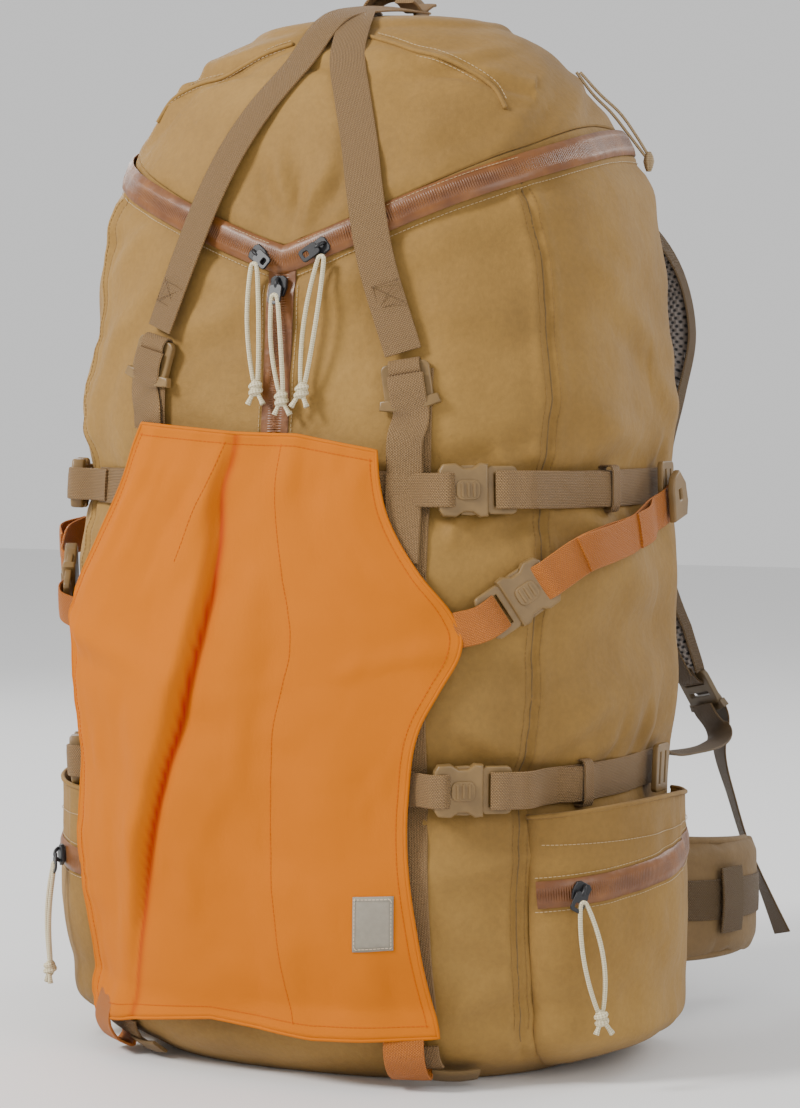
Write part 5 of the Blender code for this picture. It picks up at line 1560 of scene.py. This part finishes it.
# orange side straps
for key, side, tip, end in (("left", -1, 0.172, 0.330), ("right", 1, 0.118, 0.338)):
    label = key.capitalize()
    base = sideFrame(side * (tip + 0.044), 0.326, 0.0142, side * math.radians(33))
    turned = base @ Matrix.Rotation(math.pi, 4, "Z") if side < 0 else base
    flipped = turned @ Matrix.Rotation(math.pi, 4, "Z")
    sideReleaseBody("panelBuckleBody" + label, flipped, "panel_buckle_" + key,
        "panel_buckle_" + key + "_body")
    sideReleasePlug("panelBucklePlug" + label, flipped, "panel", "panel_buckle_" + key + "_plug")
    out = turned.to_3x3() @ Vector((0, 0, 1))
    edgeArc = 0.122 if side > 0 else 0.180
    inner = [at(side * (edgeArc - 0.014), 0.3020, 0.0052, 0.3),
        at(side * (edgeArc + 0.006), 0.3080, 0.0085, 0.3), turned @ Vector((-0.0210, 0, 0.0040)),
        turned @ Vector((-0.0130, 0, 0.0042)), turned @ Vector((-0.0085, 0, 0.0020))]
    path = spline(inner, 40)
    keep(ribbon("panelWeb" + label, path, [out] * 40, 0.0240, 0.0016, orangeWebbing, 0.0003), "panel",
        "orange_panel", False)
    edgeStitch("panelWebStitch" + label, path[3:24], [out] * 21, 0.0240, "panel", "orange_panel",
        threadOrange)
    line = [turned @ Vector((0.0225, 0, 0.0018)), turned @ Vector((0.0270, 0, 0.0056)),
        turned @ Vector((0.0380, 0, 0.0060)), turned @ Vector((0.0500, 0, 0.0052))]
    for t in np.linspace(0, 1, 6):
        line.append(at(side * (tip + 0.110 + (end - tip - 0.110) * t), 0.364 + 0.026 * t,
            0.0128 - 0.0010 * t))
    path = spline(line, 130)
    normals = []
    for i, p in enumerate(path):
        a = math.atan2(p[0], -(p[1] - bagMiddle))
        bagNormal = outward(float(arcOf(np.array(a), np.array(p[2]))), float(p[2]))
        normals.append(out.lerp(bagNormal, min(1, max(0, (i - 30) / 25))).normalized())
    keep(ribbon("panelStrap" + label, path, normals, 0.0250, 0.0016, orangeWebbing, 0.0003), "panel",
        "panel_strap_" + key)
    edgeStitch("panelStrapStitch" + label, path[8:-3], normals[8:-3], 0.0250, "panel", "panel_strap_" + key,
        threadOrange)
    for i, (start, stop, height) in enumerate(((26, 62, 0.0062), (70, 100, 0.0046))):
        part = []
        for k in range(start, stop):
            s = (k - start) / (stop - start - 1)
            part.append(Vector(path[k]) + normals[k] * (0.0018 + height * math.sin(math.pi * s) ** 1.3
                * (1 - 0.4 * s)))
        keep(ribbon(f"panelStrapFold{i}{label}", part, normals[start:stop], 0.0245, 0.0017, orangeWebbing,
            0.0003), "panel", "panel_strap_" + key, False)
    tipFrame = sideFrame(side * (end - 0.010), 0.3895, 0.0150, side * math.radians(14))
    hook = plateFrom("strapHook" + label, [[(-0.012, -0.011), (0.010, -0.012), (0.014, -0.004),
        (0.013, 0.009), (0.004, 0.019), (-0.006, 0.017), (-0.010, 0.010)],
        roundedBox(0.001, 0.004, 0.0080, 0.0100, 0.002)], 0.0052, 0.0014, buckleTan, tipFrame, 0.0)
    keep(hook, "panel", "panel_strap_" + key, False)
print("orange straps made")

# padded pieces of the harness
padPath = [(0.062, 0.163, 0.590), (0.074, 0.200, 0.606), (0.092, 0.245, 0.592), (0.108, 0.276, 0.555),
    (0.116, 0.283, 0.510), (0.115, 0.268, 0.465),
           (0.113, 0.251, 0.420), (0.115, 0.244, 0.370), (0.123, 0.248, 0.320), (0.136, 0.258, 0.280),
               (0.149, 0.268, 0.250)]
beltPath = [(0.130, 0.141, 0.093), (0.158, 0.152, 0.092), (0.184, 0.176, 0.090), (0.199, 0.212, 0.088),
    (0.199, 0.250, 0.086), (0.186, 0.285, 0.084)]


def padRings(points, sides, widths, thicks, power=3.2, around=28):
    # Closed rounded pad along a line; side is the direction of its width.
    ways = tangents(points)
    rings = []
    for p, s, w, a, b in zip(points, sides, ways, widths, thicks):
        s = (s - Vector(w) * s.dot(Vector(w))).normalized()
        n = Vector(w).cross(s).normalized()
        ring = []
        for k in range(around):
            t = 2 * math.pi * k / around
            c, q = math.cos(t), math.sin(t)
            ring.append(Vector(p) + s * (a / 2 * math.copysign(abs(c) ** (2 / power), c)) + n
                * (b / 2 * math.copysign(abs(q) ** (2 / power), q)))
        rings.append(ring)
    verts = [v for ring in rings for v in ring]
    n = len(rings)
    faces = [(i * around + j, i * around + (j + 1) % around, (i + 1) * around + (j + 1) % around,
        (i + 1) * around + j) for i in range(n - 1) for j in range(around)]
    faces.append(tuple(range(around))[::-1])
    faces.append(tuple((n - 1) * around + j for j in range(around)))
    return verts, faces


def evaluatedCopy(obj):
    graph = bpy.context.evaluated_depsgraph_get()
    mesh = bpy.data.meshes.new_from_object(obj.evaluated_get(graph), depsgraph=graph)
    obj.modifiers.clear()
    obj.data = mesh


def inflate(obj, voxel=0.0055, pressure=4.0, limit=0.0030, shrink=-0.35, frames=20):
    # Remesh the pad evenly, blow it up as cloth, then keep the result as a plain mesh.
    remesh = obj.modifiers.new("even", "REMESH")
    remesh.mode = "VOXEL"
    remesh.voxel_size = voxel
    evaluatedCopy(obj)
    count = len(obj.data.vertices)
    rest = np.empty(count * 3)
    obj.data.vertices.foreach_get("co", rest)
    rest = rest.reshape(-1, 3)
    cloth = obj.modifiers.new("cloth", "CLOTH")
    c = cloth.settings
    c.quality = 6
    c.mass = 0.25
    c.tension_stiffness = c.compression_stiffness = 22
    c.shear_stiffness = 10
    c.bending_stiffness = 1.4
    c.use_pressure = True
    c.uniform_pressure_force = pressure
    c.effector_weights.gravity = 0
    c.shrink_min = shrink * 0.12
    cloth.collision_settings.use_collision = False
    scene = bpy.context.scene
    scene.frame_start, scene.frame_end = 1, frames
    cloth.point_cache.frame_start, cloth.point_cache.frame_end = 1, frames
    for f in range(1, frames + 1):
        scene.frame_set(f)
    evaluatedCopy(obj)
    scene.frame_set(1)
    moved = np.empty(count * 3)
    obj.data.vertices.foreach_get("co", moved)
    moved = moved.reshape(-1, 3)
    step = moved - rest
    step -= step.mean(0)
    size = np.linalg.norm(step, axis=1)
    step *= np.minimum(1.0, limit / np.maximum(size, 1e-9))[:, None]
    obj.data.vertices.foreach_set("co", (rest + step).ravel())
    obj.data.update()


def measurePad(obj, points, sides, name="padUv"):
    # Widthwise and lengthwise position of each corner in metres.
    points = np.array([list(p) for p in points])
    run = runAlong(points)
    sides = np.array([list(s) for s in sides])
    count = len(obj.data.vertices)
    co = np.empty(count * 3)
    obj.data.vertices.foreach_get("co", co)
    co = co.reshape(-1, 3)
    near = ((co[:, None, :] - points[None]) ** 2).sum(2).argmin(1)
    ahead = np.gradient(points, axis=0)
    ahead /= np.linalg.norm(ahead, axis=1)[:, None]
    d = co - points[near]
    v = run[near] + (d * ahead[near]).sum(1)
    u = (d * sides[near]).sum(1)
    layer = obj.data.uv_layers.get(name) or obj.data.uv_layers.new(name=name)
    loops = np.empty(len(obj.data.loops), np.int32)
    obj.data.loops.foreach_get("vertex_index", loops)
    layer.data.foreach_set("uv", np.stack([u, v], 1)[loops].ravel())


def pressIn(obj, weight, depth):
    # Move the surface in along its own normals by depth times weight(point, normal).
    mesh = obj.data
    shifts = []
    for vertex in mesh.vertices:
        w = weight(vertex.co, vertex.normal)
        shifts.append(vertex.co - vertex.normal * depth * w)
    for vertex, place in zip(mesh.vertices, shifts):
        vertex.co = place
    mesh.update()


def finishPad(obj, body, node, cloths, choose):
    obj.data.materials.clear()
    for m in cloths:
        obj.data.materials.append(m)
    for face in obj.data.polygons:
        face.material_index = choose(face.center, face.normal)
        face.use_smooth = True
    sub = obj.modifiers.new("smooth", "SUBSURF")
    sub.levels = sub.render_levels = 1
    keep(obj, body, node)


padWidth = lambda t: 0.062 * (0.80 + 0.28 * math.sin(math.pi * min(1, 1.25 * t)) - 0.12 * t)
for key, sign in (("left", -1), ("right", 1)):
    label = key.capitalize()
    path = spline([(sign * x, y, z) for x, y, z in padPath], 64)
    shares = np.linspace(0, 1, 64)
    sides = [Vector((1, -sign * (0.15 + 0.35 * t), 0)).normalized() for t in shares]
    ways = tangents(path)
    flatSides = [(s - Vector(w) * s.dot(Vector(w))).normalized() for s, w in zip(sides, ways)]
    closing = [min(1.0, (0.30 + 9 * t) ** 0.5, (0.30 + 9 * (1 - t)) ** 0.5) for t in shares]
    verts, faces = padRings(path, sides, [padWidth(t) * 0.985 * c for t, c in zip(shares, closing)],
        [0.0145 * (0.75 + 0.25 * c) for c in closing])
    pad = meshFrom("shoulderPad" + label, verts, faces, padMesh)
    fixNormals(pad)
    inflate(pad, 0.0050)
    measurePad(pad, path, flatSides)
    padLine = np.array([list(p) for p in path])
    normalsAt = np.array([list(Vector(w).cross(s).normalized()) for w, s in zip(ways, flatSides)])

    def sideOf(point, padLine=padLine, normalsAt=normalsAt):
        k = int(((padLine - np.array(point)) ** 2).sum(1).argmin())
        return k, float(np.dot(np.array(point) - padLine[k], normalsAt[k])), float(np.dot(np.array(point)
            - padLine[k], np.array(flatSides[k])))

    # pinched seam where the two covers are bound together, and two quilted lines
    def seamWeight(point, normal):
        k, high, across = sideOf(point)
        half = padWidth(k / 63) * 0.985 / 2
        quilt = sum(math.exp(-((abs(across) - q * half) / 0.0026) ** 2)
            for q in (0.42,)) * (abs(high) > 0.004)
        binding = math.exp(-((abs(across) - 0.84 * half) / 0.0022) ** 2) * (abs(high) > 0.002)
        return 0.55 * quilt * (0.10 < k / 63 < 0.93) + binding

    pressIn(pad, seamWeight, 0.0013)
    outwardSign = 1.0 if normalsAt[30][1] > 0 else -1.0
    finishPad(pad, "harness", "shoulder_pad_" + key, [padMesh, beltCloth], lambda c, n: 0)
    # bound edge, a thin piping on both long sides
    for s2 in (-1, 1):
        line = [Vector(p) + s * (s2 * padWidth(t) * 0.985 * c / 2) for p, s, t,
            c in zip(path, flatSides, shares, closing)]
        edge = ribbon(f"padBinding{label}{'A' if s2 < 0 else 'B'}", line, [s * s2 for s in flatSides],
            0.0098, 0.0020, harnessWebbing)
        keep(edge, "harness", "shoulder_pad_" + key, False)
    # cloth root that joins the pad to the yoke
    root = [Vector((sign * 0.040, 0.1520, 0.520)), Vector((sign * 0.047, 0.1540, 0.552)),
        Vector((sign * 0.055, 0.1570, 0.578)), Vector(path[1]), Vector(path[5])]
    rootLine = spline(root, 30)
    rootWays = tangents(rootLine)
    acrossRoot = [Vector((1, 0, 0)) - Vector(w) * w[0] for w in rootWays]
    rootNormals = [Vector(w).cross(s).normalized() for w, s in zip(rootWays, acrossRoot)]
    keep(ribbon("padRoot" + label, rootLine, rootNormals, 0.0480, 0.0060, beltCloth, 0.0), "harness",
        "shoulder_pad_" + key, False)
    # load strap sewn along the outer face
    face = [Vector(p) + Vector(nn) * outwardSign * -0.0086 for p, nn in zip(path[4:], normalsAt[4:])]
    faceNormals = [Vector(nn) * -outwardSign for nn in normalsAt[4:]]
    keep(ribbon("padWeb" + label, face, faceNormals, 0.0250, 0.0016, harnessWebbing, 0.0003), "harness",
        "shoulder_pad_" + key, False)

    # ladder lock at the pad's end
    tip, way = Vector(path[-1]), Vector(ways[-1]).normalized()
    across = flatSides[-1]
    normal = way.cross(across).normalized()
    if normal.y < 0:
        normal, across = -normal, -across
    m = Matrix((across, -way, normal)).transposed().to_4x4()
    m.translation = tip + way * 0.0165
    ladderLock("shoulderLadder" + label, m, "harness", "shoulder_ladder_" + key, 0.0330, 0.0300, 0.0,
        harnessPlastic)
    short = [tip - way * 0.012 + normal * 0.001, tip + way * 0.001 + normal * 0.0035,
        tip + way * 0.0075 + normal * 0.0040, tip + way * 0.0105 + normal * 0.0010,
        tip + way * 0.0070 - normal * 0.0035, tip - way * 0.006 - normal * 0.0060]
    sp = spline(short, 26)
    shortWays = tangents(sp)
    keep(ribbon("ladderLoop" + label, sp, [Vector(w).cross(across).normalized() for w in shortWays], 0.0240,
        0.0015, harnessWebbing), "harness", "shoulder_ladder_" + key, False)

    # webbing from the foot of the pack, up through the ladder, with a free tail
    foot = Vector((sign * 0.160, 0.1335, 0.213))
    up = [foot, foot.lerp(Vector((sign * 0.170, 0.190, 0.196)), 0.5) + Vector((0, 0, -0.006)),
        Vector((sign * 0.170, 0.190, 0.196)),
          m @ Vector((0, -0.026, -0.0030)), m @ Vector((0, -0.0185, -0.0046)),
              m @ Vector((0, -0.0100, -0.0044))]
    route = spline(up, 60)
    routeWays = tangents(route)
    ref = Vector((sign * 1.0, -0.35, 0.0)).normalized()
    normals = []
    for i, w in enumerate(routeWays):
        s = ref.lerp(across if across.dot(ref) > 0 else -across, min(1, max(0, i / 59 * 1.6 - 0.5)))
        s = (s - Vector(w) * s.dot(Vector(w))).normalized()
        normals.append(s.cross(Vector(w)).normalized())
    web = ribbon("shoulderWeb" + label, route, normals, 0.0250, 0.0016, harnessWebbing, 0.0003)
    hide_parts("shoulder_web_" + key)
    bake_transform(web)
    tail = [m @ Vector((0, -0.0035, 0.0036)), m @ Vector((0, -0.0120, 0.0062)),
        m @ Vector((0, -0.0240, 0.0060)), Vector((sign * 0.166, 0.287, 0.188)),
            Vector((sign * 0.174, 0.294, 0.150)), Vector((sign * 0.186, 0.298, 0.110)),
                Vector((sign * 0.200, 0.302, 0.075)), Vector((sign * 0.212, 0.305, 0.046))]
    route, tailLength = spline(tail, 90), lengthOf(tail)
    routeWays = tangents(route)
    normals = []
    for i, w in enumerate(routeWays):
        twist = 0.55 * math.sin(0.9 * math.pi * i / 89) * sign
        s = (across + normal * twist).normalized()
        s = (s - Vector(w) * s.dot(Vector(w))).normalized()
        normals.append(Vector(w).cross(s).normalized())
    free = ribbon("shoulderTail" + label, route, normals, 0.0245, 0.0016, harnessWebbing, 0.0003)
    keep(free, "harness", "shoulder_ladder_" + key, False)
    print("shoulder strap made", key)

    # belt wing
    path = spline([(sign * x, y, z) for x, y, z in beltPath], 48)
    shares = np.linspace(0, 1, 48)
    sides = [Vector((0, 0, 1))] * 48
    closing = [min(1.0, (0.45 + 8 * t) ** 0.5, (0.22 + 6 * (1 - t)) ** 0.5) for t in shares]
    verts, faces = padRings(path, sides, [0.098 * (1 - 0.16 * t) * c for t, c in zip(shares, closing)],
        [0.0145 * (0.75 + 0.25 * c) for c in closing], 3.6)
    wing = meshFrom("beltWing" + label, verts, faces, beltCloth)
    fixNormals(wing)
    inflate(wing, 0.0055)
    wingWays = tangents(path)
    measurePad(wing, path, sides)
    beltLine = np.array([list(p) for p in path])

    def quiltWeight(point, normal, beltLine=beltLine):
        k = int(((beltLine - np.array(point)) ** 2).sum(1).argmin())
        half = 0.098 * (1 - 0.16 * k / 47) / 2
        across = point.z - beltLine[k][2]
        quilting = math.exp(-((abs(across) - 0.46 * half) / 0.0026) ** 2)
        binding = math.exp(-((abs(across) - 0.88 * half) / 0.0024) ** 2)
        return (0.8 * quilting + binding) * (1 if k > 2 else 0)

    pressIn(wing, quiltWeight, 0.0014)
    body = "belt_" + key

    def innerFace(c, n, beltLine=beltLine, sign=sign):
        k = int(((beltLine - np.array(c)) ** 2).sum(1).argmin())
        w = beltLine[min(k + 1, 47)] - beltLine[max(k - 1, 0)]
        side = np.cross(w, (0, 0, 1)) * sign
        return 1 if np.dot(np.array(n), side) / (np.linalg.norm(side) + 1e-9) < -0.55 else 0

    finishPad(wing, body, "belt_wing_" + key, [beltCloth, padMesh], innerFace)
    # webbing sewn along the outside, an upright tab and piping along the top and bottom edges
    outs = [(Vector(w).cross(Vector((0, 0, 1))) * sign).normalized() for w in wingWays]
    line = [Vector(p) + o * 0.0094 for p, o in zip(path[2:], outs[2:])]
    keep(ribbon("beltWeb" + label, line, outs[2:], 0.0300, 0.0018, harnessWebbing, 0.0003), body,
        "belt_wing_" + key, False)
    edgeStitch("beltWebStitch" + label, line[2:-2], outs[4:-2], 0.0300, body, "belt_wing_" + key)
    k = 24
    tab = [Vector(path[k]) + outs[k] * (0.0118 + 0.0020 * math.sin(math.pi * t))
        + Vector((0, 0, -0.024 + 0.048 * t)) for t in np.linspace(0, 1, 16)]
    keep(ribbon("beltTab" + label, tab, [outs[k]] * 16, 0.0250, 0.0024, harnessWebbing, 0.0003), body,
        "belt_wing_" + key, False)
    for name, dz in (("Low", -0.046), ("High", 0.046)):
        edge = [Vector(p) + Vector((0, 0, dz * (1 - 0.16 * t) * c)) for p, t,
            c in zip(path, shares, closing)]
        piping = tube(f"beltPiping{name}{label}", edge, 0.0030, beltCloth, 8)
        keep(piping, body, "belt_wing_" + key, False)
    print("belt wing made", key)


def blockPad(name, size, place, node, cloth, grooves):
    w, t, h = size
    rows = 26
    zs = np.linspace(-h / 2, h / 2, rows)
    points = [Vector((place[0], place[1], place[2] + z)) for z in zs]
    ends = [min(1.0, (0.5 + 14 * min(i, rows - 1 - i) / rows) ** 0.5) for i in range(rows)]
    verts, faces = padRings(points, [Vector((1, 0, 0))] * rows, [w * 0.98 * (0.9 + 0.1 * e) for e in ends],
        [t * 0.96 * e for e in ends], 5.0, 40)
    pad = meshFrom(name, verts, faces, cloth)
    fixNormals(pad)
    inflate(pad, 0.0060, 3.0, 0.0022)
    measurePad(pad, points, [Vector((1, 0, 0))] * rows)

    def groove(point, normal):
        if normal.y < 0.2:
            return 0.0
        x, z = point.x - place[0], point.z - place[2]
        return max(math.exp(-(((x if axis == "x" else z) - d) / 0.0042) ** 2) for axis, d in grooves)

    pressIn(pad, groove, 0.0035)
    finishPad(pad, "bag", node, [cloth], lambda c, n: 0)


blockPad("backPad", (0.230, 0.0130, 0.330), (0, 0.1368, 0.400), "back_pad", padMesh,
    [("x", 0.0), ("x", -0.062), ("x", 0.062), ("z", -0.06), ("z", 0.06)])
blockPad("lumbarPad", (0.236, 0.0180, 0.120), (0, 0.1398, 0.130), "lumbar_pad", padMesh,
    [("x", 0.0), ("x", -0.070), ("x", 0.070)])
print("back pads made")

# yoke plate under the shoulder straps and the stiff sheet behind the pads
yoke = plateFrom("yokePlate", [roundedBox(0, 0, 0.150, 0.075, 0.014),
    roundedBox(-0.045, 0.018, 0.030, 0.005, 0.002), roundedBox(0.045, 0.018, 0.030, 0.005, 0.002),
    roundedBox(0, -0.020, 0.050, 0.005, 0.002)],
                 0.0048, 0.0012, frameBlack, Matrix.Translation((0, 0.1462, 0.530))
                     @ Matrix.Rotation(math.radians(-90), 4, "X"), 0.0)
keep(yoke, "bag", "yoke_plate")
sheet = plateFrom("frameSheet", [roundedBox(0, 0, 0.288, 0.548, 0.030)], 0.0021, 0.0007, coyoteDark,
    Matrix.Translation((0, 0.1292, 0.330)) @ Matrix.Rotation(math.radians(-90), 4, "X"), 0.0)
keep(sheet, "bag", "frame_sheet")
backLines = []
for k in (0.94, 0.97):
    box = roundedBox(0, 0, 0.288 * k, 0.548 * k, 0.026)
    backLines.append([Vector((x, 0.1307, 0.330 + y)) for x, y in box + [box[0]]])
keep(sew("frameSheetStitches", backLines, threadTan, 0.0036, 0.0025, 0.00026), "bag", "frame_sheet", False)
for sign in (-1, 1):
    web = [Vector((sign * 0.128, 0.1306, z)) for z in np.linspace(0.075, 0.585, 30)]
    keep(ribbon("backWeb" + ("Left" if sign < 0 else "Right"), web, [Vector((0, 1, 0))] * 30, 0.0200,
        0.0015, webbing, 0.0003), "bag", "frame_sheet", False)

# strap across the chest with its buckle
line = [Vector((x, 0.2625 + 0.018 * (1 - (x / 0.075) ** 2), 0.405)) for x in np.linspace(-0.075, 0.075, 50)]
ways = tangents(line)
normals = [Vector((-w[1], w[0], 0)).normalized() for w in ways]
keep(ribbon("sternumStrap", line, normals, 0.0200, 0.0020, harnessWebbing, 0.0003), "harness",
    "sternum_strap")
m = Matrix.Translation((0.0050, 0.2822, 0.405)) @ Matrix(((1, 0, 0, 0), (0, 0, 1, 0), (0, 1, 0, 0),
    (0, 0, 0, 1)))
buckle = plateFrom("sternumBuckle", [[(-0.022, -0.010), (-0.010, -0.0115), (-0.004, -0.0085),
    (0.004, -0.0085), (0.010, -0.0115), (0.020, -0.010), (0.020, 0.010), (0.010, 0.0115), (0.004, 0.0085),
    (-0.004, 0.0085), (-0.010, 0.0115), (-0.022, 0.010)]], 0.0070, 0.0014, harnessPlastic, m, 0.0)
keep(buckle, "harness", "sternum_strap", False)
print("harness made")

# thin cord at the upper right, tied to the lid's back edge
cordTurn = angleOf(0.318, 0.628)
cordLine = [at(float(arcOf(cordTurn - lean, z)), z, off) for z, off,
    lean in ((0.688, 0.0034, 0.10), (0.674, 0.0050, 0.06), (0.659, 0.0068, 0.03), (0.643, 0.0080, 0.01),
    (0.628, 0.0088, 0.0))]
route = spline(cordLine, 40)
for s2, label in ((-1, "A"), (1, "B")):
    leg = [Vector(p) + Vector((0.0012 * s2, 0.0006 * s2, 0)) * (1 + 1.2 * math.sin(math.pi * i / 39)) for i,
        p in enumerate(route)]
    piece = tube("lidCord" + label, leg, 0.0011, tanCord, 8)
    keep(piece, "lid", "top_lid", False)
    if s2 > 0:
        end = leg[-1]
        knot = tube("lidCordKnot", [end + Vector((0, 0, -d)) for d in (-0.003, 0, 0.004, 0.008, 0.011)],
            0.002, tanCord, 10, [0.0016, 0.0032, 0.0040, 0.0030, 0.0018])
        keep(knot, "lid", "top_lid", False)

# floor and soft light
floorMat, _, floorShader = nodesOf("paleFloor")
floorShader.inputs["Base Color"].default_value = (0.80, 0.80, 0.80, 1)
floorShader.inputs["Roughness"].default_value = 0.8
floorPlane = meshFrom("paleFloor", [(-6, -6, -0.0008), (6, -6, -0.0008), (6, 6, -0.0008), (-6, 6, -0.0008)],
    [(0, 1, 2, 3)], floorMat, smooth=False)


def softLight(name, place, target, size, power, colour=(1, 1, 1)):
    data = bpy.data.lights.new(name, "AREA")
    data.shape = "DISK"
    data.size = size
    data.energy = power
    data.color = colour
    lamp = newObject(name, data)
    lamp.location = place
    lamp.rotation_euler = (Vector(target) - Vector(place)).to_track_quat("-Z", "Y").to_euler()


softLight("keyLight", (-1.5, -1.9, 2.1), (0, 0, 0.40), 0.8, 100, (1.0, 0.985, 0.96))
softLight("fillLight", (2.4, -1.2, 1.3), (0, 0, 0.35), 1.6, 26, (0.97, 0.985, 1.0))
softLight("rimLight", (1.4, 2.2, 1.7), (0, 0, 0.45), 1.2, 22)
softLight("backLight", (-1.8, 1.6, 1.5), (0, 0, 0.40), 1.2, 14)
world = bpy.data.worlds.new("paleWorld")
bpy.context.scene.world = world
world.use_nodes = True
sky = world.node_tree.nodes["Background"]
sky.inputs["Color"].default_value = (1.0, 1.0, 1.0, 1)
sky.inputs["Strength"].default_value = 0.80
